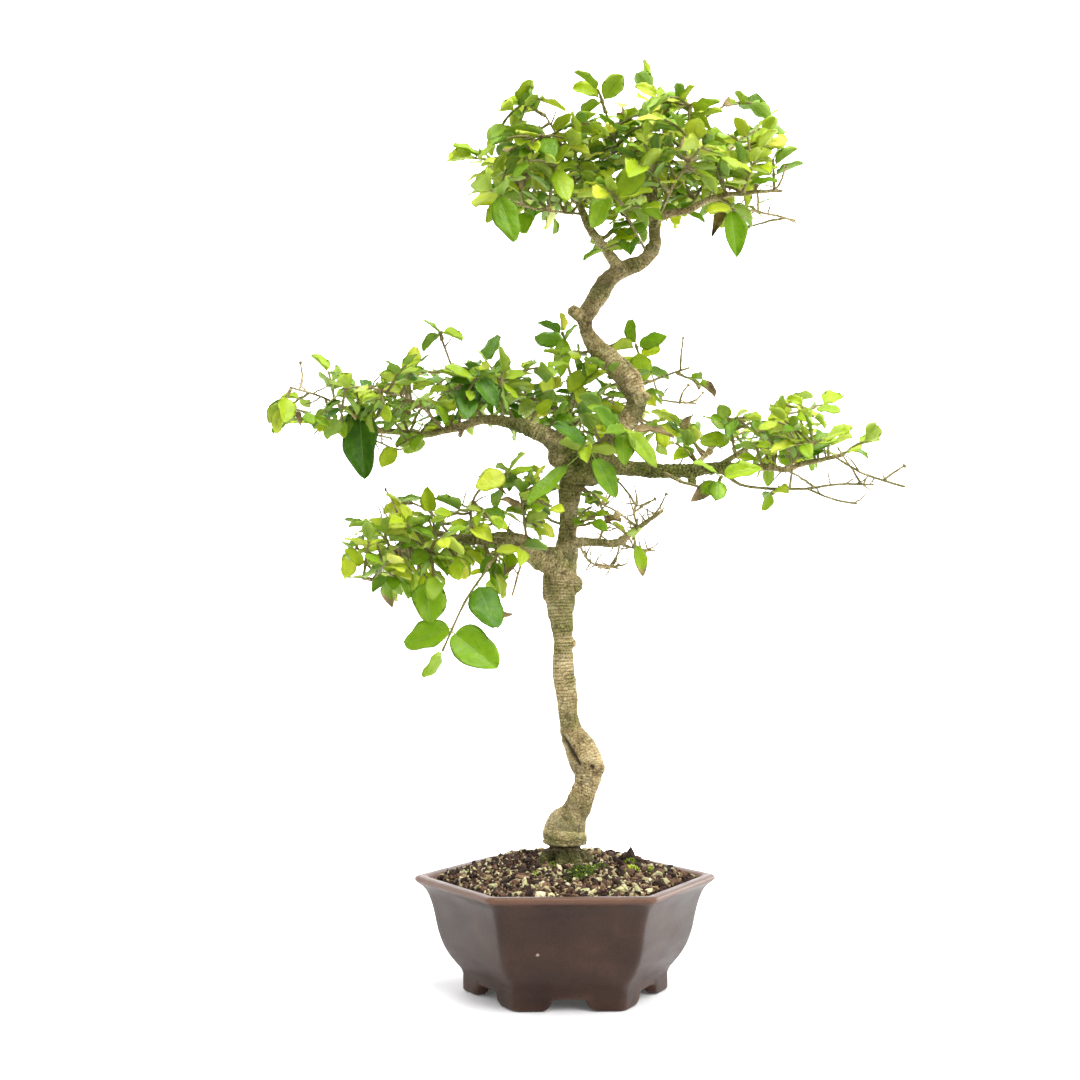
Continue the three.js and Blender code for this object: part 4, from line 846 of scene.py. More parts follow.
def put_leaf(shapes, leaf, tint, wither, rows, columns):
    # the blade begins after the stalk, which is up to a third of a narrow leaf
    stalk = min(0.34, max(0.07, 1 - 2.1 * leaf["width"] / leaf["length"]))
    u = 0.5 - 0.5 * np.cos(np.linspace(0, math.pi, rows + 1))
    u = stalk + (1 - stalk) * (0.85 * u + 0.15 * np.linspace(0, 1, rows + 1))
    v = np.linspace(-1, 1, columns + 1)
    uu, vv = np.meshgrid(u[1:-1], v, indexing="ij")
    share = (uu - stalk) / (1 - stalk)
    # the outline: blunt or pointed, with soft uneven lobes
    blunt = 0.5 + 0.5 * math.sin(leaf["phase"] * 7)
    arch = np.sin(np.pi * share ** (0.84 + 0.12 * blunt)).clip(0)
    outline = arch ** (0.52 + 0.14 * blunt) * (1.0 - 0.06 * share)
    wave = 0.03 + 0.0022 * leaf["length"]
    lobes = np.sin(share * 7.5 + leaf["phase"] * 5 + np.sign(vv) * 1.7) * np.clip(share * 2.2 - 0.3, 0, 1)
    outline = outline * (1 + wave * lobes + 0.012 * np.sin(share * 21 + leaf["phase"] * 9 + np.sign(vv)))
    scale = np.where(half_width(uu) > 1e-6, outline / half_width(uu), 0.0)
    top = leaf_points(leaf, uu, vv * scale)
    # the surface: a ruffled rim, swellings between seven pairs of veins, a cup, and a curl where it is dry
    off = np.abs(vv)
    ruffle = (0.05 * np.sin(share * 13 + leaf["phase"] * 3 + np.sign(vv) * 0.9) * vv ** 2
              + 0.012 * np.cos((share * 7 - off * 1.5) * 2 * math.pi) * (1 - off) * off * 2)
    cup = 0.16 * math.sin(leaf["phase"] * 11) * leaf["width"] * vv ** 2
    curl = wither * leaf["length"] * DRY_CURL * np.clip(share - 0.25, 0, 1) ** 2
    pinch = 1 - 0.45 * wither * np.clip(share * 1.4 - 0.2, 0, 1)
    top = top - leaf["side"] * (half_width(uu) * leaf["width"] * 0.5 * vv * scale * (1 - pinch))[..., None]
    rolled = wither * leaf["width"] * 0.22 * vv ** 2
    top = top + leaf["up"] * (ruffle * leaf["width"] + cup - curl + rolled)[..., None]
    # the underside lies half a millimetre below the middle and closes in at the rim
    thick = 0.2 * (1 - vv[:, 1:-1] ** 4) + 0.03
    low = top[:, 1:-1] - leaf["up"] * (thick * 2)[..., None]
    ends = leaf_points(leaf, np.array([stalk, 1.0]), np.zeros(2)) - leaf["up"] * 0.2
    ends[1] -= leaf["up"] * wither * leaf["length"] * DRY_CURL * 0.75 ** 2
    points = np.concatenate([ends, top.reshape(-1, 3), low.reshape(-1, 3)])
    inner_u, inner_v = uu[:, 1:-1], vv[:, 1:-1]
    along = np.concatenate([[stalk, 1.0], uu.ravel(), inner_u.ravel()])
    across = np.concatenate([[0, 0], vv.ravel(), inner_v.ravel()])
    under = np.concatenate([[0.5, 0.5], (off.ravel() > 0.99) * 0.4, np.ones(inner_u.size)])
    shapes.put(points, blade_faces(rows, columns), tint=tint, along=along, across=across,
               wither=wither, under=under)
    # the stalk, which runs on as a rib under the blade
    rib_u = np.array([0.0, 0.05, 0.12, 0.3, 0.55, 0.8])
    rib = leaf_points(leaf, rib_u, np.zeros(6)) - leaf["up"] * vec(0, 0.1, 0.4, 0.45, 0.42, 0.3)[:, None]
    size = (0.36 + leaf["length"] * 0.004) * vec(1.15, 0.95, 0.8, 0.55, 0.4, 0.16)
    if wither < 0.5:
        shapes.tube(np.column_stack([rib, size]), 5, tint=tint + 0.15, along=0.1, stem=0.15, under=0.6)


def put_stem(shapes, route, leaves):
    line = smooth_path([[*p, r] for p, r in zip(route["stem"], (1.05, 0.95, 0.82, 0.68))], 5)
    # each leaf sits on a slight swelling of the stem
    for leaf in leaves:
        near = np.linalg.norm(line[:, :3] - leaf["base"], axis=1)
        line[:, 3] += 0.3 * np.exp(-(near / 1.4) ** 2)
    shapes.tube(line, 7, tint=0.5, along=0.1, stem=0.85)

# %% [markdown]
# ## The sprays of the frame
# Each spray of the frame gets its finer self: the same leaves at the same places. Leaves in the sun at
# the top are young and yellow-green, with painted light; the ones that hang low or far out are old and
# dark, with painted shade.

# %% Leaf ages with painted light and shade, and the 55 sprays
# one number for each row of BIG_LEAVES, from 0 for old and dark in painted shade to 1 for young and yellow
# in painted light
BIG_TINTS = [0.42, 0.45, 0.24, 0.3, 0.45, 0.14, 0.18, 0.18, 0.36, 0.42, 0.2, 0.38, 0.42, 0.2, 0.5, 0.62,
             0.55, 0.3, 0.45, 0.55, 0.3, 0.5, 0.52, 0.6, 0.58, 0.45, 0.5]
# large leaves that are dry, by their row's number, from 0 for fresh to 1 for dead
BIG_WITHER = {3: 1.0, 13: 1.0, 20: 0.9, 21: 0.62, 26: 0.5, 16: 0.3, 19: 0.2}
# the same ages, with painted light and shade, for all other leaves, by the first word of their spray's name
AGES_LIGHT_AND_SHADE = {"crown": 0.6, "left": 0.5, "middle": 0.6, "front": 0.45, "fork": 0.45, "right": 0.56, "low": 0.6}
# about one small leaf in 30 is dry
DRY_SHARE = 0.035
# a leaf longer than this gets the finer grid, mm
LARGE = 30


def dress(shapes, route, leaves, draw):
    base = AGES_LIGHT_AND_SHADE[route["name"].split("_")[0]]
    for leaf in leaves:
        if leaf.get("big"):
            index = next(i for i, row in enumerate(BIG_LEAVES)
                         if row[0] == route["name"] and abs(row[1] - leaf["t"]) < 1e-6)
            tint, wither = BIG_TINTS[index], BIG_WITHER.get(index, 0.0)
        else:
            tint = base + 0.6 * (draw() - 0.5) + (0.1 if leaf["hand"] == 0 else 0)
            wither = (0.25 + 0.75 * draw() ** 2) if draw() < DRY_SHARE else 0.12 * draw()
        grid = FINE_GRID if leaf["length"] > LARGE else SMALL_GRID
        put_leaf(shapes, leaf, tint, wither, *grid)
    put_stem(shapes, route, leaves)


draw = draws(7)
for route, leaves in zip(ROUTES, GROWN):
    shapes = Shapes(*LEAF_KEYS)
    dress(shapes, route, leaves, draw)
    spray_piece = shapes.make("leaves_" + route["name"], leaf_green, "privet_leaf")
    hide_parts("spray_" + route["name"])

# %% [markdown]
# ## The rest of the foliage
# The frame holds the sprays that give the tree its reach. A real pad is denser: hundreds more leaves sit
# on short shoots between them. The same rule grows them, on drawn tips inside a few soft cloud shapes,
# each tied to the nearest twig or green stem, so that no leaf hangs in the air and none runs through
# another.

# %% Clouds of drawn shoot tips
# cloud, centre x y z, radii x y z, shoots, leaf length, limbs whose names start with
CLOUDS = [
    ["crown_left_side", -16, -2, 562, 54, 76, 34, 62, 17, ("crown", "trunk")],
    ["crown_middle", 48, -6, 564, 54, 80, 37, 78, 16, ("crown", "trunk")],
    ["crown_right_side", 98, -4, 557, 46, 76, 31, 56, 16, ("crown", "trunk")],
    ["crown_under", 42, -6, 521, 20, 44, 13, 12, 15, ("crown", "trunk")],
    ["left_pad", -76, 6, 402, 66, 64, 19, 58, 15, ("left",)],
    ["left_pad_outer", -150, 4, 388, 46, 54, 17, 26, 13, ("left",)],
    ["middle_pad", 8, 20, 400, 56, 60, 31, 42, 15, ("middle", "trunk", "left_mid")],
    ["middle_right_pad", 72, 8, 372, 26, 44, 16, 9, 15, ("middle", "trunk", "right")],
    ["right_pad", 144, -24, 366, 48, 66, 21, 34, 14, ("right",)],
    ["low_pad", -84, -2, 297, 64, 58, 29, 62, 16, ("low_left", "low_up", "low_back", "low_front")],
    ["low_pad_by_trunk", -24, -12, 324, 22, 36, 22, 18, 15, ("low_left", "low_up", "trunk", "low_front")],
    ["right_of_trunk", 25, -8, 320, 14, 26, 18, 8, 12, ("trunk", "fork", "front")],
]


# a seat is a point on a limb or a green stem, and how long the spur is that starts there
def seats_for(starts):
    seats = []
    for limb in LIMBS:
        if limb.startswith(starts) and not limb.startswith("low_right"):
            for t in np.linspace(0.12, 0.95, 18):
                seats.append((point_at(limb, t)[:3], point_at(limb, t)[3] + 3))
    for route in ROUTES:
        if route["limb"].startswith(starts) and "hang" not in route["name"]:
            seats += [(on_stem(route, t)[0], 1.6) for t in (0.25, 0.5, 0.75, 0.98)]
    return seats


# a shoot runs from its tip to the nearest seat, where that is 11 to 32 mm away
NEAREST, FURTHEST = 11, 32
THREE_PAIRS_FROM = 24


def extra_routes(cloud, draw):
    name, cx, cy, cz, rx, ry, rz, wanted, length, starts = cloud
    seats = seats_for(starts)
    places = np.array([seat[0] for seat in seats])
    routes = []
    for _ in range(wanted * 14):
        if len(routes) == wanted:
            break
        way = unit(vec(draw() - 0.5, draw() - 0.5, draw() - 0.5))
        tip = vec(cx, cy, cz) + way * vec(rx, ry, rz) * draw() ** 0.45
        away = np.linalg.norm(places - tip, axis=1)
        nearest = int(np.argmin(away))
        if NEAREST < away[nearest] < FURTHEST:
            pairs = 2 if away[nearest] < THREE_PAIRS_FROM else 3
            routes.append(route_between(f"{name}_{len(routes)}", *seats[nearest], tip, pairs, length))
    return routes


draw = draws(301)
EXTRA = [(cloud, extra_routes(cloud, draw)) for cloud in CLOUDS]
print({cloud[0]: len(routes) for cloud, routes in EXTRA})

# %% Grow and dress them
all_routes = ROUTES + [route for _, routes in EXTRA for route in routes]
extra_leaves = 0
# the added leaves may stand a little closer than the solids do, mm
PLACED.gap = 2.4
for number, (cloud, routes) in enumerate(EXTRA):
    grown = grow(routes, [], 500 + number, PLACED, all_routes)
    shapes = Shapes(*LEAF_KEYS)
    draw = draws(900 + number)
    for route, leaves in zip(routes, grown):
        if leaves:
            dress(shapes, route, leaves, draw)
            spur = smooth_path([route["origin"], route["stem"][0]], 3)
            shapes.tube(np.column_stack([spur, [1.3, 1.15, 1.05, 1.0]]), 6, tint=0.5, stem=1.0)
            extra_leaves += len(leaves)
    shapes.make("more_leaves_" + cloud[0], leaf_green, "privet_leaf")
print("extra leaves", extra_leaves)

# %% [markdown]
# ## Privet bark
# The trunk of an old privet is thin-barked: tan and grey, finely wrinkled across, palest on the swollen
# foot, with a green film of algae and small cushions of moss on the shaded side and on the fork. Dry
# cork scatters light, so roughness is near 0.85 with the usual IOR of 1.5. The colour follows noise in
# three real sizes: patches of 12 mm, flecks of 1.2 mm, and cross wrinkles about 1.6 mm apart. The true
# wrinkles are half as far apart and would vanish in the picture.

# %% Bark material
BARK_KEYS = ("moss", "run", "pale", "hollow")
bark, tree = new_material("privet_bark_with_algae")
moss, run, pale_part, hollow = (add(tree, "ShaderNodeAttribute", attribute_name=key).outputs["Fac"]
                                for key in BARK_KEYS)
place = add(tree, "ShaderNodeTexCoord").outputs["Object"]
patch = add(tree, "ShaderNodeTexNoise", {"Vector": place, "Scale": 1 / 0.012, "Detail": 4.0}).outputs["Fac"]
fleck = add(tree, "ShaderNodeTexNoise",
            {"Vector": place, "Scale": 1 / 0.0012, "Detail": 2.0}).outputs["Fac"]
film = add(tree, "ShaderNodeTexNoise", {"Vector": place, "Scale": 1 / 0.021, "Detail": 5.0,
                                        "Roughness": 0.65}).outputs["Fac"]
# wrinkles follow the length along the limb, in mm, so they run round it
wrinkle_w = add(tree, "ShaderNodeMath", {0: run, 1: 1 / 1.6}, operation="MULTIPLY").outputs[0]
wrinkle = add(tree, "ShaderNodeTexNoise",
              {"Vector": place, "W": wrinkle_w, "Scale": 1 / 0.006, "Detail": 2.0},
              noise_dimensions="4D").outputs["Fac"]
mixed = add(tree, "ShaderNodeMath", {0: patch, 1: 0.55}, operation="MULTIPLY").outputs[0]
mixed = add(tree, "ShaderNodeMath", {0: fleck, 1: 0.65, 2: mixed}, operation="MULTIPLY_ADD").outputs[0]
mixed = add(tree, "ShaderNodeMath", {0: wrinkle, 1: 0.3, 2: mixed}, operation="MULTIPLY_ADD").outputs[0]
tan = set_ramp(add(tree, "ShaderNodeValToRGB", {"Fac": add(tree, "ShaderNodeMapRange",
               {0: mixed, 1: 0.44, 2: 0.98}).outputs[0]}),
               [(0.1, "#54452b"), (0.33, "#87744c"), (0.55, "#b39d6c"), (0.85, "#dccb9f")]).outputs[0]
pale_tan = add(tree, "ShaderNodeMix", {0: pale_part, 6: tan, 7: linear("#cbbb8b")},
               data_type="RGBA").outputs[2]
# a film of algae first, then cushions of moss, then the dark: painted shade of cracks, holes and grooves
green_film = set_ramp(add(tree, "ShaderNodeValToRGB", {"Fac": fleck}),
                      [(0.3, "#4f5226"), (0.55, "#79793c"), (0.75, "#9a9a5a")]).outputs[0]
film_edge = add(tree, "ShaderNodeMath", {0: moss, 1: 0.28, 2: film}, operation="MULTIPLY_ADD").outputs[0]
film_edge = add(tree, "ShaderNodeMapRange", {0: film_edge, 1: 0.5, 2: 0.66, 3: 0.0, 4: 0.75}).outputs[0]
filmed = add(tree, "ShaderNodeMix", {0: film_edge, 6: pale_tan, 7: green_film}, data_type="RGBA").outputs[2]
moss_green = set_ramp(add(tree, "ShaderNodeValToRGB", {"Fac": fleck}),
                      [(0.3, "#34370f"), (0.5, "#5f6326"), (0.7, "#8f9444")]).outputs[0]
cushion = add(tree, "ShaderNodeMapRange", {0: moss, 1: 0.6, 2: 0.95, 3: 0.0, 4: 0.9}).outputs[0]
colour = add(tree, "ShaderNodeMix", {0: cushion, 6: filmed, 7: moss_green}, data_type="RGBA").outputs[2]
deep = add(tree, "ShaderNodeMath", {0: hollow, 1: 0.85}, operation="MULTIPLY").outputs[0]
colour = add(tree, "ShaderNodeMix", {0: deep, 6: colour, 7: linear("#2b2416")}, data_type="RGBA").outputs[2]
relief = add(tree, "ShaderNodeMath", {0: wrinkle, 1: 1.2, 2: fleck}, operation="MULTIPLY_ADD").outputs[0]
bump = add(tree, "ShaderNodeBump", {"Height": relief, "Strength": 1.0, "Distance": 0.0012}).outputs[0]
bsdf = add(tree, "ShaderNodeBsdfPrincipled", {"Base Color": colour, "Roughness": 0.85, "Normal": bump,
                                               "Specular IOR Level": 0.3})
add(tree, "ShaderNodeOutputMaterial", {"Surface": bsdf.outputs[0]})
print("bark material has", len(tree.nodes), "nodes")

# %% [markdown]
# ## Trunk and main limbs
# A branch that grows out of a trunk has a smooth collar, which plain tubes pushed into each other lack.
# Sculpting would give it; here the tubes, knobs and roots are merged into one skin by a voxel remesh at
# 1 mm and relaxed, which rounds each joint. Then each point is moved along its normal by lumps,
# flecks and cross wrinkles, so the bark has true relief. Ends under 3.6 mm thick are too fine for the
# voxels and are left to the next step.

# %% Tubes of the thick wood
THICK = ["trunk", "left_mid", "right_mid", "middle", "low_left", "low_right", "crown_left", "crown_right"]
# the least radius that goes into the skin, mm
THINNEST = 1.8
# numbers that mark a stub and a root, as 0 to 7 mark the limbs
STUB, ROOT = 20, 30
thick = Shapes()
# points on the middle lines: x, y, z, radius, length so far, number of the limb
centres = []


def put_limb(shapes, path, sides, steps=7):
    line = smooth_path(path, steps)
    shapes.tube(line, sides)
    length = np.concatenate([[0], np.cumsum(np.linalg.norm(np.diff(line[:, :3], axis=0), axis=1))])
    return line, length


# the foot swells to a round bulb over the soil and draws in to a neck of 18 mm right above it
BULB = [[0, 0, 89, 10.4], [0, -1, 94, 12.4], [0, -2, 100, 15.0], [0.5, -2.5, 106, 14.9],
        [3, -3, 111.5, 12.4], [7, -3, 118, 8.9], [10.5, -3, 126, 8.9]]
for limb in THICK:
    path = BULB + LIMBS[limb][5:] if limb == "trunk" else LIMBS[limb]
    line, length = put_limb(thick, [p for p in path if p[3] >= THINNEST], 20)
    centres += [(*p[:3], p[3], s, THICK.index(limb)) for p, s in zip(line, length)]
for path in STUBS:
    line, length = put_limb(thick, path, 14, 3)
    centres += [(*p[:3], p[3], s, STUB) for p, s in zip(line, length)]


def put_knob(shapes, x, y, z, radius):
    turns = np.linspace(0.15, math.pi - 0.15, 8)
    shapes.tube([[x, y, z - math.cos(a) * radius, math.sin(a) * radius] for a in turns], 14)


# the two low knobs are nearly overgrown, so they sit deeper here; a knob is known by its height
OVERGROWN = {230: [3.6, -2, 230, 4.2], 269: [4.6, -4, 270, 7.4]}
for knob in KNOBS:
    put_knob(thick, *OVERGROWN.get(knob[2], knob))

# seven roots run down into the soil: which way in degrees, and how far out in mm
ROOT_TURNS = [255, 300, 345, 35, 90, 145, 200]
ROOT_REACH = [15, 16, 19, 17, 16, 17, 20]
for turn, reach in zip(ROOT_TURNS, ROOT_REACH):
    c, s = math.cos(math.radians(turn)), math.sin(math.radians(turn))
    leg = [[5 * c, 5 * s - 1, 97, 5.4], [reach * 0.5 * c, reach * 0.5 * s - 1, 90, 4.8],
           [reach * 0.85 * c, reach * 0.85 * s - 1, 83, 4.0], [reach * c, reach * s - 1, 73, 3.0]]
    line, length = put_limb(thick, leg, 14, 5)
    centres += [(*p[:3], p[3], s, ROOT) for p, s in zip(line, length)]
put_limb(thick, [[0, -1, 99, 8], [0, -1, 84, 8], [0, -1, 70, 7]], 16, 3)
print(len(thick.faces), "faces before merging")

# %% Merge into one skin and relax it
raw = bpy.data.meshes.new("thick_raw")
raw.from_pydata((np.concatenate(thick.points) * MM + MIDDLE).tolist(), [],
                [list(map(int, f)) for f in thick.faces])
raw_object = bpy.data.objects.new("thick_raw", raw)
bpy.context.collection.objects.link(raw_object)
remesh = raw_object.modifiers.new("merge", "REMESH")
remesh.mode = "VOXEL"
remesh.voxel_size = 1.0 * MM
relax = raw_object.modifiers.new("relax", "SMOOTH")
relax.factor = 0.5
relax.iterations = 6
skin = bpy.data.meshes.new_from_object(raw_object.evaluated_get(bpy.context.evaluated_depsgraph_get()))
bpy.data.objects.remove(raw_object)
skin_points = np.empty(len(skin.vertices) * 3)
skin.vertices.foreach_get("co", skin_points)
skin_points = (skin_points.reshape(-1, 3) - MIDDLE) * 1000
skin_normals = np.empty(len(skin.vertices) * 3)
skin.vertices.foreach_get("normal", skin_normals)
skin_normals = skin_normals.reshape(-1, 3)
skin_faces = [tuple(p.vertices) for p in skin.polygons]
print(len(skin_points), "points,", len(skin_faces), "faces after merging")

# %% Nearest middle line for each point of the skin
centres = np.array(centres)
finder = kdtree.KDTree(len(centres))
for i, c in enumerate(centres):
    finder.insert(Vector(c[:3]), i)
finder.balance()
owner = np.array([finder.find(Vector(p))[1] for p in skin_points])
girth, run, limb_number = centres[owner, 3], centres[owner, 4], centres[owner, 5]
print("radius of the wood from", girth.min(), "to", girth.max(), "mm")

# %% True relief
# smooth noise with lumps of the given size in mm
def wobble(points, size, seed):
    shift = Vector((seed * 17.3, seed * 5.1, seed * 9.7))
    return np.array([noise.noise(Vector(p) / size + shift) for p in points.tolist()])


# 1 in the middle of a soft spot and 0 far from it
def spot(points, centre, radii):
    return np.exp(-(((points - vec(*centre)) / vec(*radii)) ** 2).sum(1))


thin = np.clip(girth / 8, 0.25, 1)
cross = np.array([noise.noise(Vector((x / 6, y / 6 + o, s / 1.7)))
                  for (x, y, _), s, o in zip(skin_points.tolist(), run, limb_number * 9.0)])
push = (wobble(skin_points, 15, 1) * 1.2 + wobble(skin_points, 5, 2) * 0.7) * thin
push += wobble(skin_points, 1.9, 3) * 0.34 * (0.4 + 0.6 * thin) + cross * 0.16 * thin
# short cracks where a coarse noise passes zero
crack = np.exp(-(wobble(skin_points * (1, 1, 0.55), 5.5, 9) / 0.07) ** 2)
crack = crack * (wobble(skin_points, 11, 12) > -0.1)
push -= crack * 0.55 * thin
# the cracks also get painted shade in their colour
hollow = crack * 0.55
print(round(float((crack > 0.5).mean()) * 100, 1), "% of the bark is cracked")

# %% Slit, pruning hole and the rim of the foot
SLIT = vec(-1.8, -2, 167), vec(9.6, -8, 149)
HOLE = (17.6, -9, 147.4)
# heights of the lip of bark that rims the foot, of the gap under it, and of the slight swell of the trunk
LIP, GAP_UNDER, SWELL = 96.6, 93.6, 207
slit_way = (SLIT[1] - SLIT[0]) * (1, 0, 1)
along_slit = np.clip((skin_points - SLIT[0]) @ slit_way / (slit_way @ slit_way), 0, 1)
off_slit = np.linalg.norm((skin_points - SLIT[0] - along_slit[:, None] * slit_way) * (1, 0, 1), axis=1)
slit_width = 0.55 + 1.0 * np.sin(math.pi * (0.06 + 0.88 * along_slit))
on_slit = np.exp(-(off_slit / slit_width) ** 2) * (skin_normals[:, 1] < 0.2)
push -= 2.2 * on_slit
in_hole = spot(skin_points, HOLE, (1.5, 7, 1.4)) * (skin_normals[:, 1] < 0)
push -= 3.4 * in_hole
# the slit and the pruning hole get painted shade in their colour
hollow = np.maximum(hollow, np.maximum(on_slit, in_hole) * 1.5)
radial = np.hypot(skin_points[:, 0], skin_points[:, 1] + 1)
height = skin_points[:, 2]
lip = np.exp(-((height - LIP - skin_points[:, 0] * -0.06) / 1.0) ** 2) * (radial < 19)
gap = np.exp(-((height - GAP_UNDER) / 1.5) ** 2) * (radial < 17)
push += 1.1 * lip - 2.6 * gap + 0.7 * np.exp(-((height - SWELL) / 24) ** 2)
# the gap under the lip gets painted shade in its colour
hollow = np.clip(np.maximum(hollow, gap * 0.8), 0, 1)
skin_points = skin_points + skin_normals * push[:, None]
print("relief from", round(push.min(), 2), "to", round(push.max(), 2), "mm")

# %% Where algae and moss grow, with painted shade on the mid trunk
# algae keep to the left and the underside, where the bark stays damp
film_side = 0.5 - 0.5 * skin_normals[:, 0] * 0.4 - 0.3 * skin_normals[:, 2]
SOIL_LINE = 92.5
# centres and sizes of the mossy spots, in mm
MOSSY = [((16, -6, 350), 17), ((2, -10, 360), 12), ((96, -30, 344), 34), ((60, -22, 347), 22),
         ((-3, 0, 282), 13), ((20, -4, 96), 12), ((-30, -14, 374), 14)]
moss = sum(np.exp(-(np.linalg.norm(skin_points - vec(*c), axis=1) / size) ** 2) for c, size in MOSSY)
height = skin_points[:, 2]
# how green and dark the trunk is at each height: algae, and painted shade where it runs under the low
# branches
film = np.interp(height, [90, 120, 160, 215, 240, 330, 345, 380, 480, 520],
                 [0.12, 0.0, 0.0, 0.2, 0.7, 0.45, 0.2, 0.2, 0.1, 0.05])
moss = moss * (1.0 + 0.5 * wobble(skin_points, 6, 5)) + 0.3 * (film_side - 0.5)
moss = np.clip(np.maximum(moss, film * (0.8 + 0.6 * wobble(skin_points, 9, 7))), 0, 1)
# what is under the soil line is dark and green
below = height < SOIL_LINE
moss = np.where(below, 0.86 + 0.5 * wobble(skin_points, 4, 8), moss)
hollow = np.where(below, 0.7 + 0.25 * wobble(skin_points, 3, 4), hollow)
# the gap under the lip keeps its full painted shade
hollow = np.maximum(hollow, gap)
pale = np.clip(spot(skin_points, (2, -3, 106), (20, 20, 9)) + 1.2 * lip, 0, 1) * 0.55
pale = np.where(below, 0.0, pale)
# moss stands up from the bark by up to about 1 mm
tufts = np.clip(moss - 0.55, 0, 1) * (0.6 + wobble(skin_points, 1.3, 6)) * 2.2
skin_points = skin_points + skin_normals * tufts[:, None]
trunk_piece = make_piece("trunk_and_main_limbs", skin_points, skin_faces, bark,
                         values={"moss": moss, "run": run, "pale": pale, "hollow": hollow})
bpy.data.meshes.remove(skin)

# %% [markdown]
# ## Twigs, spurs and berries
# Fine wood is quicker as swept tubes. Each has a slight kink at every bud, drawn noise in its girth, and
# a small pair of buds at its end, because a bare privet twig ends in buds. Two dried berries stay on
# the low right twigs and the right-hand branch, as privet keeps its fruit through winter.

# %% Fine wood
draw = draws(41)
twigs = Shapes(*BARK_KEYS)


STEPS = 4


def put_twig(path, sides=6, buds=False, moss=0.3):
    line = smooth_path(path, STEPS)
    seed = draw() * 90
    for i in range(1, len(line) - 1):
        sway = 0.35 + 0.1 * line[i, 3]
        line[i, :3] += [noise.noise(Vector((i * 0.9, seed, k * 7.0))) * sway for k in range(3)]
        line[i, 3] *= 1 + 0.16 * noise.noise(Vector((i * 1.1, seed, 50.0)))
    twigs.tube(line, sides, moss=moss, pale=0.1, hollow=0.16)
    # a paler ring at every bud
    for i in range(STEPS, len(line) - 1, STEPS):
        place, radius = line[i, :3], line[i, 3]
        way = unit(line[i + 1, :3] - place)
        twigs.tube([[*place - way * 0.6, radius * 1.05], [*place, radius * 1.25],
                    [*place + way * 0.6, radius * 1.02]], sides, moss=0.1, pale=0.6)
    if buds:
        way = unit(line[-1, :3] - line[-3, :3])
        side = unit(np.cross(way, vec(draw(), draw(), 0.3)))
        for hand in (-1, 0, 1):
            aim = unit(way + side * hand * 0.8)
            start = line[-1, :3]
            twigs.tube([[*start, 0.45], [*(start + aim * 0.8), 0.75], [*(start + aim * 1.7), 0.55],
                        [*(start + aim * 2.5), 0.12]], 6, moss=0.5, pale=0.1)


# the thin end of a main limb goes on as a twig from the last point that the skin covers well
FINE = 2.4
for name, path in LIMBS.items():
    if name not in THICK:
        put_twig(path, moss=0.55 if name.startswith("right") else 0.3)
    elif path[-1][3] < FINE:
        first = min(i for i, p in enumerate(path) if p[3] < FINE)
        put_twig(path[max(first - 1, 0):], sides=10)
for path in TWIGS:
    put_twig(path, buds=True)
# dead shoots of 7 to 14 mm, finer than the frame's own, all along the branches
dead_shoots = 0
for name, path in LIMBS.items():
    reach = sum(math.dist(p[:3], q[:3]) for p, q in zip(path, path[1:]))
    # one for every 3 mm on the bare low branch at the right, one for every 16 mm elsewhere
    apart = 3 if name.startswith("low_right") else 16
    for _ in range(0 if name == "trunk" else int(reach / apart)):
        seat = point_at(name, 0.25 + 0.75 * draw())
        way = unit(vec(draw() - 0.5, draw() - 0.5, 0.9 * draw() - 0.3))
        half = seat[:3] + way * (seat[3] + 3 + 3 * draw())
        end = half + unit(way + 0.8 * vec(draw() - 0.5, draw() - 0.5, draw() - 0.4)) * (4 + 5 * draw())
        put_twig([[*seat[:3], 0.65], [*half, 0.55], [*end, 0.35]], sides=5)
        dead_shoots += 1
print(dead_shoots, "dead shoots")
for route in ROUTES:
    stop = route["origin"] + route["way"] * (route["spur"] + GAP)
    put_twig([[*route["origin"], 1.5], [*((route["origin"] + stop) / 2), 1.3], [*stop, 1.15]])


# a dried berry of 5 to 6 mm on a stalk from the place that it hangs from
def put_berry(centre, hang):
    x, y, z = centre
    rings = [(math.sin(a) * 2.6, -math.cos(a) * 2.9) for a in np.linspace(0.2, math.pi - 0.2, 9)]
    twigs.tube([[x, y, z + h, r] for r, h in rings], 14)
    twigs.tube([[x, y, z - 2.7, 0.5], [x, y, z - 3.4, 0.25]], 6)
    bend = [(x + hang[0]) / 2, (y + hang[1]) / 2, (z + hang[2]) / 2 + 1.5]
    stalk = smooth_path([[*hang, 0.4], [*bend, 0.4], [x, y, z + 2.4, 0.45]], 3)
    twigs.tube(stalk, 6, moss=0.1)


put_berry((34, -22, 315.5), (36.3, -21.3, 321))
put_berry((98, -10, 360), (96, -5, 366))
twig_piece = twigs.make("twigs_and_spurs", bark, "privet_bark")
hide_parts("wood")
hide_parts("wood")

# %% [markdown]
# ## Unglazed stoneware pot
# A bonsai pot of this kind is pressed in a mould and fired without glaze: dense red-brown stoneware, its
# outside wiped smooth, with a slight sheen. Fired clay has an IOR near 1.5, and burnishing brings its
# roughness down to about 0.4. The lip and, faintly, the corners are pinker and paler: partly where the
# slip wears thin, partly a painted highlight. A lathe can't make a six-sided form, so it is lofted:
# hexagonal rings with eased corners follow one profile.

# %% Stoneware material
stoneware, tree = new_material("unglazed_red_brown_stoneware")
wear_and_highlight = add(tree, "ShaderNodeAttribute", attribute_name="wear_and_highlight").outputs["Fac"]
place = add(tree, "ShaderNodeTexCoord").outputs["Object"]
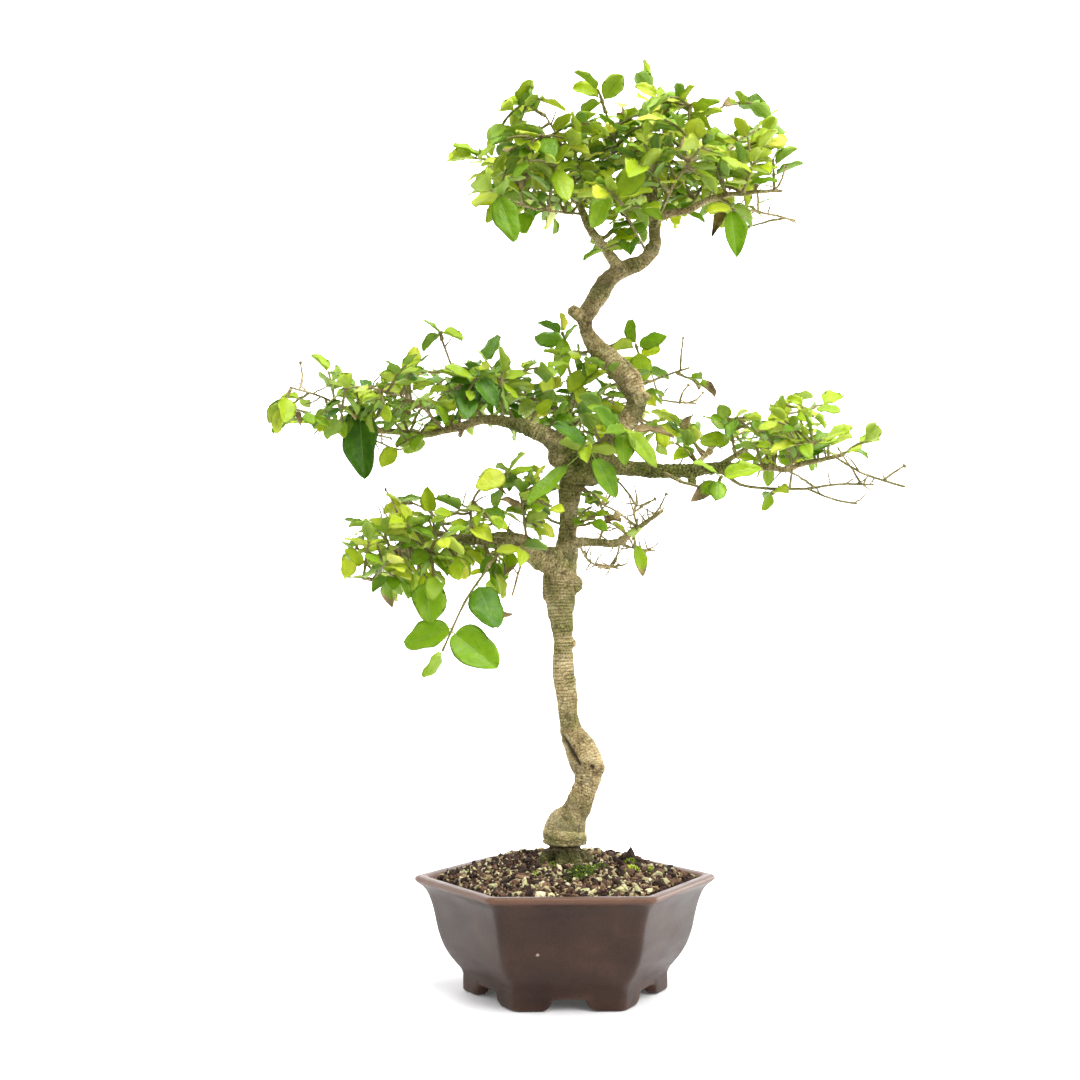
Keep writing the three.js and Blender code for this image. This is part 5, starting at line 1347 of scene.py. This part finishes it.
# clouds of 30 mm from the fire, wiping marks stretched sideways, and a grit of 0.5 mm drawn at 1.1 mm
cloud = add(tree, "ShaderNodeTexNoise", {"Vector": place, "Scale": 1 / 0.03, "Detail": 4.0}).outputs["Fac"]
wipe_place = add(tree, "ShaderNodeMapping", {"Vector": place, "Scale": (1.0, 1.0, 3.0)}).outputs[0]
wipe = add(tree, "ShaderNodeTexNoise",
           {"Vector": wipe_place, "Scale": 1 / 0.03, "Detail": 1.0}).outputs["Fac"]
grit = add(tree, "ShaderNodeTexNoise", {"Vector": place, "Scale": 1 / 0.0011, "Detail": 2.0}).outputs["Fac"]
tone = add(tree, "ShaderNodeMath", {0: wipe, 1: 0.25, 2: cloud}, operation="MULTIPLY_ADD").outputs[0]
tone = add(tree, "ShaderNodeMath", {0: grit, 1: 0.5, 2: tone}, operation="MULTIPLY_ADD").outputs[0]
body = set_ramp(add(tree, "ShaderNodeValToRGB", {"Fac": add(tree, "ShaderNodeMapRange",
                {0: tone, 1: 0.6, 2: 1.15}).outputs[0]}),
                [(0.0, "#2a1a13"), (0.5, "#342219"), (1.0, "#3e2a20")]).outputs[0]
# the lip and, faintly, the corners turn pale pink: partly slip worn thin, partly a painted highlight
wear_and_highlight_mix = add(tree, "ShaderNodeMath", {0: cloud, 1: 0.5, 2: wear_and_highlight}, operation="MULTIPLY_ADD").outputs[0]
wear_and_highlight_mix = add(tree, "ShaderNodeMapRange", {0: wear_and_highlight_mix, 1: 0.3, 2: 1.2, 3: 0.0, 4: 1.0}).outputs[0]
with_wear_and_highlight = add(tree, "ShaderNodeMix", {0: wear_and_highlight_mix, 6: body, 7: linear("#654838")}, data_type="RGBA").outputs[2]
# faint dark specks of iron, about one in 6 mm
speck = add(tree, "ShaderNodeTexVoronoi", {"Vector": place, "Scale": 1 / 0.006}).outputs["Distance"]
speck = add(tree, "ShaderNodeMapRange", {0: speck, 1: 0.05, 2: 0.09, 3: 0.12, 4: 0.0}).outputs[0]
specked = add(tree, "ShaderNodeMix", {0: speck, 6: with_wear_and_highlight, 7: linear("#2f2420")},
              data_type="RGBA").outputs[2]
# one pale chip of 3 mm on the front wall
CHIP = tuple(MIDDLE + vec(-20.5, -73, 38.5) * MM)
chip = add(tree, "ShaderNodeVectorMath", {0: place, 1: CHIP}, operation="DISTANCE").outputs["Value"]
chip = add(tree, "ShaderNodeMath", {0: grit, 1: 0.002, 2: chip}, operation="MULTIPLY_ADD").outputs[0]
chip = add(tree, "ShaderNodeMapRange", {0: chip, 1: 0.0022, 2: 0.0028, 3: 0.8, 4: 0.0}).outputs[0]
colour = add(tree, "ShaderNodeMix", {0: chip, 6: specked, 7: linear("#a48f7c")},
             data_type="RGBA").outputs[2]
# bare clay mirrors less than glass of the same IOR, so its specular level is low
gloss = add(tree, "ShaderNodeMapRange", {0: wipe, 1: 0.3, 2: 0.7, 3: 0.33, 4: 0.42}).outputs[0]
wiped = add(tree, "ShaderNodeMath", {0: wipe, 1: 0.25}, operation="MULTIPLY").outputs[0]
relief = add(tree, "ShaderNodeMath", {0: grit, 1: 0.6, 2: wiped}, operation="MULTIPLY_ADD").outputs[0]
bump = add(tree, "ShaderNodeBump", {"Height": relief, "Strength": 0.5, "Distance": 0.0005}).outputs[0]
bsdf = add(tree, "ShaderNodeBsdfPrincipled", {"Base Color": colour, "Roughness": gloss, "IOR": 1.5,
                                               "Normal": bump, "Specular IOR Level": 0.2})
add(tree, "ShaderNodeOutputMaterial", {"Surface": bsdf.outputs[0]})
print("stoneware material has", len(tree.nodes), "nodes")

# %% [markdown]
# ## The pot's form
# From outside to inside the profile runs up the body, over the flared lip and down the inner wall. The
# six feet are what is left where the ring under the body is arched up in the middle of each side.

# %% Profile and hexagonal rings
# distance of a corner from the middle, and height, in mm; the first five rows are the foot ring
OUTSIDE = [[57, 9], [59, 1], [60.5, 0], [66.4, 0], [67.4, 1.2], [67.4, 11], [68.8, 14.2], [72, 17.8],
           [75.6, 22], [79.2, 27.2], [82, 33], [84.4, 40], [86.2, 48], [87.8, 54.5], [90, 61],
           [92.4, 65.6], [96, 69.2], [98.9, 71.2], [100, 73], [99.2, 74.5], [97.2, 75.2]]
INSIDE = [[93.4, 75], [91, 73.8], [89.4, 71], [86, 64], [82, 53], [78.8, 39], [74.6, 28], [67, 18.5],
          [60, 14]]
FOOT_ROWS = 5
UNDERSIDE, FLOOR = 9, 14
EASING = 4.2
# the arch between two feet: distance from the middle of the side, and height
ARCH = [(0, 7.4), (6, 7.4), (10.4, 6.8), (12.4, 5), (13, 2.4), (16, 0.4), (17, 0)]
# where the points lie on half a side of the foot, close together where the arch is steep
HALF_SIDE = [0, 3, 6, 8, 9.4, 10.4, 11.3, 12, 12.4, 12.7, 13, 13.7, 14.8, 16, 18, 21, 24, 27, 30.4]
SIDE = np.array([-s for s in HALF_SIDE[:0:-1]] + HALF_SIDE) / HALF_SIDE[-1]
# marks a point of an eased corner, which no arch reaches
CORNER = 99


def on_hexagon(turn):
    return vec(math.cos(turn), math.sin(turn)), vec(-math.sin(turn), math.cos(turn))


def hex_ring(corner, height, easing=EASING):
    reach = corner + easing * 0.45
    flat = reach / 2 - easing
    apothem = reach * math.cos(math.pi / 6)
    points = []
    for side in range(6):
        turn = math.radians(30 + 60 * side)
        out, along = on_hexagon(turn)
        points += [(*(out * apothem + along * s * flat), height, s * HALF_SIDE[-1]) for s in SIDE]
        next_out, next_along = on_hexagon(turn + math.pi / 3)
        a, b = out * apothem + along * flat, next_out * apothem - next_along * flat
        tip = reach * on_hexagon(turn + math.pi / 6)[0]
        points += [(*(a * (1 - k) ** 2 + tip * 2 * k * (1 - k) + b * k ** 2), height, CORNER)
                   for k in (0.17, 0.33, 0.5, 0.67, 0.83)]
    return np.array(points)


def arch_height(s):
    line = smooth_path([[a, b, 0] for a, b in ARCH], 4)
    return np.interp(np.abs(s), line[:, 0], line[:, 1].clip(0))


wall = smooth_path([[a, b, 0] for a, b in OUTSIDE[FOOT_ROWS:] + INSIDE], 3)
body_rows = np.concatenate([OUTSIDE[:FOOT_ROWS], wall[:, :2]])
ring_size = len(hex_ring(60, 0))
print(len(body_rows), "rings of", ring_size, "points")

# %% Body with its arched foot, then both floors and the drain hole
pot_points, wear_and_highlight_values, faces = [], [], []
for row, (corner, height) in enumerate(body_rows):
    ring = hex_ring(corner, height)
    if 0 < row < FOOT_ROWS:
        ring[:, 2] += arch_height(ring[:, 3])
    pot_points.append(ring[:, :3])
    # paler at the corners a little and at the lip much, partly worn slip and partly painted highlight, and
    # worn at the feet
    edge = 0.06 * (ring[:, 3] > 90) + 0.95 * math.exp(-((height - 73.4) / 2.4) ** 2)
    wear_and_highlight_values.append(edge + 0.3 * math.exp(-(height / 2.0) ** 2))
j = np.arange(ring_size)
k = (j + 1) % ring_size
for i in range(len(body_rows) - 1):
    a, b = i * ring_size, (i + 1) * ring_size
    faces += np.stack([a + j, a + k, b + k, b + j], 1).tolist()


# a floor runs in from the ring numbered edge to the drain hole, whose radius is 10 mm
def close_floor(edge, height, up):
    for radius in (36, 22, 10):
        flat_ring = pot_points[edge][:, :2]
        flat_ring = flat_ring / np.hypot(flat_ring[:, 0], flat_ring[:, 1])[:, None] * radius
        pot_points.append(np.column_stack([flat_ring, np.full(ring_size, height)]))
        wear_and_highlight_values.append(np.full(ring_size, 0.1))
        a, b = edge * ring_size, (len(pot_points) - 1) * ring_size
        ring_faces = np.stack([a + j, a + k, b + k, b + j], 1)
        faces.extend((ring_faces if up else ring_faces[:, ::-1]).tolist())
        edge = len(pot_points) - 1
    return edge * ring_size


hole_top = close_floor(len(body_rows) - 1, FLOOR, True)
hole_low = close_floor(0, UNDERSIDE, False)
faces += np.stack([hole_top + j, hole_top + k, hole_low + k, hole_low + j], 1).tolist()
pot_piece = make_piece("hexagonal_pot", np.concatenate(pot_points), faces, stoneware,
                       values={"wear_and_highlight": np.concatenate(wear_and_highlight_values)})
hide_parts("pot")

# %% [markdown]
# ## Drain screen
# Under the soil a small square of plastic mesh keeps the grit in. It is moulded polyethylene: matt black
# with faint flow marks of 4 mm, IOR 1.5 and roughness near 0.5. The solid's own form is right, so only its
# finish is new.

# %% Moulded plastic on the screen
screen_black, tree = new_material("moulded_black_polyethylene")
place = add(tree, "ShaderNodeTexCoord").outputs["Object"]
flow = add(tree, "ShaderNodeTexNoise", {"Vector": place, "Scale": 1 / 0.004, "Detail": 3.0}).outputs["Fac"]
colour = set_ramp(add(tree, "ShaderNodeValToRGB", {"Fac": flow}),
                  [(0.3, "#1e2220"), (0.7, "#343a37")]).outputs[0]
gloss = add(tree, "ShaderNodeMapRange", {0: flow, 1: 0.3, 2: 0.7, 3: 0.42, 4: 0.6}).outputs[0]
bump = add(tree, "ShaderNodeBump", {"Height": flow, "Strength": 0.3, "Distance": 0.0003}).outputs[0]
bsdf = add(tree, "ShaderNodeBsdfPrincipled", {"Base Color": colour, "Roughness": gloss, "IOR": 1.5,
                                               "Normal": bump})
add(tree, "ShaderNodeOutputMaterial", {"Surface": bsdf.outputs[0]})
for screen_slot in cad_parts["drain_screen"].material_slots:
    screen_slot.material = screen_black
print("screen slots", len(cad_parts["drain_screen"].material_slots))

# %% [markdown]
# ## Soil, grit and moss
# The pot is filled with loose bonsai mix: dark composted bark with crushed tan, cream and pale green
# stone, 2 to 6 mm across, mounded towards the trunk. Displacing one surface would look like lumpy clay,
# so loose grains are laid on a dark bed, each its own broken stone. Mineral grit is matt: IOR 1.5,
# roughness 0.9. Every grain carries one drawn number, and the ramp below turns it into a stone's colour.

# %% Grit and moss materials
grit_mix, tree = new_material("crushed_stone_and_bark_grit")
kind = add(tree, "ShaderNodeAttribute", attribute_name="kind").outputs["Fac"]
place = add(tree, "ShaderNodeTexCoord").outputs["Object"]
# each grain is mottled in spots of 1.6 mm
mottle = add(tree, "ShaderNodeTexNoise",
             {"Vector": place, "Scale": 1 / 0.0016, "Detail": 3.0}).outputs["Fac"]
kind = add(tree, "ShaderNodeMath", {0: mottle, 1: 0.07, 2: kind}, operation="MULTIPLY_ADD").outputs[0]
stone = set_ramp(add(tree, "ShaderNodeValToRGB", {"Fac": kind}),
                 [(0.0, "#211711"), (0.25, "#38271f"), (0.42, "#533d31"), (0.55, "#745742"),
                  (0.66, "#947c5c"), (0.76, "#b8a87e"), (0.85, "#a5a77c"), (0.93, "#c9c08d"),
                  (1.0, "#d8ceaa")]).outputs[0]
shade = add(tree, "ShaderNodeMapRange", {0: mottle, 1: 0.3, 2: 0.7, 3: 0.72, 4: 1.12}).outputs[0]
colour = add(tree, "ShaderNodeHueSaturation", {"Value": shade, "Color": stone}).outputs[0]
bump = add(tree, "ShaderNodeBump", {"Height": mottle, "Strength": 0.7, "Distance": 0.0006}).outputs[0]
bsdf = add(tree, "ShaderNodeBsdfPrincipled", {"Base Color": colour, "Roughness": 0.9, "IOR": 1.5,
                                               "Normal": bump, "Specular IOR Level": 0.3})
add(tree, "ShaderNodeOutputMaterial", {"Surface": bsdf.outputs[0]})

# moss is a fine green pile, brown at its foot, with a fuzz of 0.7 mm
moss_cushion, tree = new_material("cushion_moss")
kind = add(tree, "ShaderNodeAttribute", attribute_name="kind").outputs["Fac"]
colour = set_ramp(add(tree, "ShaderNodeValToRGB", {"Fac": kind}),
                  [(0.0, "#29330e"), (0.4, "#4c5e18"), (0.75, "#7f942a"), (1.0, "#b9c83e")]).outputs[0]
place = add(tree, "ShaderNodeTexCoord").outputs["Object"]
fuzz = add(tree, "ShaderNodeTexNoise", {"Vector": place, "Scale": 1 / 0.0007}).outputs["Fac"]
bump = add(tree, "ShaderNodeBump", {"Height": fuzz, "Strength": 0.6, "Distance": 0.0003}).outputs[0]
bsdf = add(tree, "ShaderNodeBsdfPrincipled", {"Base Color": colour, "Roughness": 0.8, "Normal": bump,
                                               "Specular IOR Level": 0.2})
add(tree, "ShaderNodeOutputMaterial", {"Surface": bsdf.outputs[0]})
print("grit and moss materials made")

# %% The bed of soil
# the soil reaches 77.4 mm out to the middle of each side, at 72.5 mm, and rises 12 mm to the trunk
SOIL_REACH, SOIL_EDGE, SOIL_RISE = 77.4, 72.5, 12
DARK_GRIT = 0.18


def soil_height(x, y):
    share = np.maximum(np.abs(y), np.abs(x) * 0.866 + np.abs(y) * 0.5) / SOIL_REACH
    return SOIL_EDGE + SOIL_RISE * (1 - np.minimum(share, 1) ** 2) * (1 + 0.008 * y)


bed_points, bed_faces = [], []
for share in np.linspace(0.02, 1, 56):
    ring = hex_ring(88.6 * share, 0, EASING * share)[:, :3]
    ring[:, 2] = soil_height(ring[:, 0], ring[:, 1]) - 1.2
    bumps = [noise.noise(Vector((x / 5, y / 5, 3.0))) + 0.5 * noise.noise(Vector((x / 2, y / 2, 8.0)))
             for x, y, _ in ring.tolist()]
    ring[:, 2] += np.array(bumps) * min(1.0, (1 - share) * 8 + 0.3)
    bed_points.append(ring)
# under its edge the soil follows the pot's inner wall down
for corner, height in ((85.4, 64), (81.4, 53), (78.2, 39), (74.0, 28.2), (66.4, 19), (59.0, 15.6)):
    bed_points.append(hex_ring(corner, height)[:, :3])
j = np.arange(ring_size)
k = (j + 1) % ring_size
for i in range(len(bed_points) - 1):
    a, b = i * ring_size, (i + 1) * ring_size
    bed_faces += np.stack([a + j, b + j, b + k, a + k], 1).tolist()
bed_faces.append(j.tolist())
bed_faces.append((j[::-1] + (len(bed_points) - 1) * ring_size).tolist())
bed_points = np.concatenate(bed_points)
bed = make_piece("soil_bed", bed_points, bed_faces, grit_mix,
                 values={"kind": np.full(len(bed_points), DARK_GRIT)})
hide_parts("soil")

# %% Loose grains
# a broken stone starts as a solid of twelve corners and twenty faces, and each corner is drawn in or out
golden = (1 + math.sqrt(5)) / 2
STONE_POINTS = np.array([(s, t * golden, 0) for s in (-1, 1) for t in (-1, 1)]
                        + [(0, s, t * golden) for s in (-1, 1) for t in (-1, 1)]
                        + [(t * golden, 0, s) for s in (-1, 1) for t in (-1, 1)]) / math.hypot(1, golden)
STONE_FACES = [(a, b, c) for a in range(12) for b in range(a + 1, 12) for c in range(b + 1, 12)
               if all(abs(np.linalg.norm(STONE_POINTS[p] - STONE_POINTS[q]) - 1.0515) < 0.01
                      for p, q in ((a, b), (b, c), (a, c)))]
STONE_FACES = [f if np.linalg.det(STONE_POINTS[list(f)]) > 0 else (f[0], f[2], f[1])
               for f in STONE_FACES]
pick = random.Random(5)


def put_stone(shapes, centre, size, kind):
    turn = Vector([pick.gauss(0, 1) for _ in range(3)]).normalized()
    swing = np.array(Vector((0, 0, 1)).rotation_difference(turn).to_matrix())
    form = STONE_POINTS * np.array([[pick.uniform(0.6, 1.15)] for _ in range(12)])
    form = form * (1.25, pick.uniform(0.65, 1.0), pick.uniform(0.4, 0.85)) * size / 2
    shapes.put(form @ swing.T + centre, STONE_FACES, kind=kind)


def in_hexagon(reach):
    while True:
        x, y = pick.uniform(-100, 100), pick.uniform(-80, 80)
        if max(abs(y), abs(x) * 0.866 + abs(y) * 0.5) < reach * 0.866:
            return x, y


GRAINS, LARGE_GRAINS = 5200, 1900
grains = Shapes("kind")
for number in range(GRAINS):
    large = number < LARGE_GRAINS
    size = pick.uniform(3.4, 7.0) if large else pick.uniform(1.5, 3.2)
    x, y = in_hexagon(88.2 - size * 0.55)
    if math.hypot(x, y + 1) < 11:
        continue
    # three in four are dark bark, fewer near the front wall
    dark = 0.74 if y > -30 else 0.6
    kind = pick.uniform(0.0, 0.52) if pick.random() < dark else pick.uniform(0.5, 1.0)
    lift = size * pick.uniform(-0.15, 0.38) if large else size * 0.3 + pick.uniform(-0.6, 1.8)
    put_stone(grains, vec(x, y, soil_height(x, y) - 0.8 + lift), size, kind)
# a large chip of bark leans at the back on the right, with smaller ones by the trunk
# place x y z, size, kind
CHIPS = ((44, 10, 86, 11.5, 0.1), (38, 8, 84, 10, 0.15), (49, 6, 84, 9, 0.3), (-14, -16, 82, 8, 0.6),
         (3, -18, 83, 8, 0.9), (-5, -22, 82, 7, 0.95), (24, -12, 82, 7, 0.1))
for x, y, z, size, kind in CHIPS:
    put_stone(grains, vec(x, y, z), size, kind)
grains.make("loose_grit", grit_mix, "soil_and_grit", smooth=False)

# %% Moss cushions and green crumbs
tufts = Shapes("kind")
# cushion x and y, spread, number of shoots, brightness
CUSHIONS = ((8, -32, 7.5, 560, 0.16), (14, -26, 5, 160, 0.4), (23, -15, 4, 120, 0.3), (45, 4, 5, 130, 0.5),
            (44, -14, 5, 90, 0.8), (56, -10, 4, 50, 0.8), (-9, -14, 4, 70, 0.35), (-20, -30, 3, 30, 0.5))
for x0, y0, spread, count, bright in CUSHIONS:
    for _ in range(count):
        x, y = pick.gauss(x0, spread * 0.6), pick.gauss(y0, spread * 0.6)
        near = math.exp(-((x - x0) ** 2 + (y - y0) ** 2) / spread ** 2)
        foot = vec(x, y, soil_height(x, y) + 0.7 * spread * near - 1.2)
        way = unit(vec(pick.gauss(0, 0.5), pick.gauss(0, 0.5), 1))
        tall = pick.uniform(1.4, 2.6)
        tufts.tube([[*foot, 0.55], [*(foot + way * tall * 0.5), 0.7], [*(foot + way * tall), 0.2]], 5,
                   kind=min(1, max(0, pick.gauss(bright, 0.22))))
tufts.make("moss_on_soil", moss_cushion, "soil_and_grit")
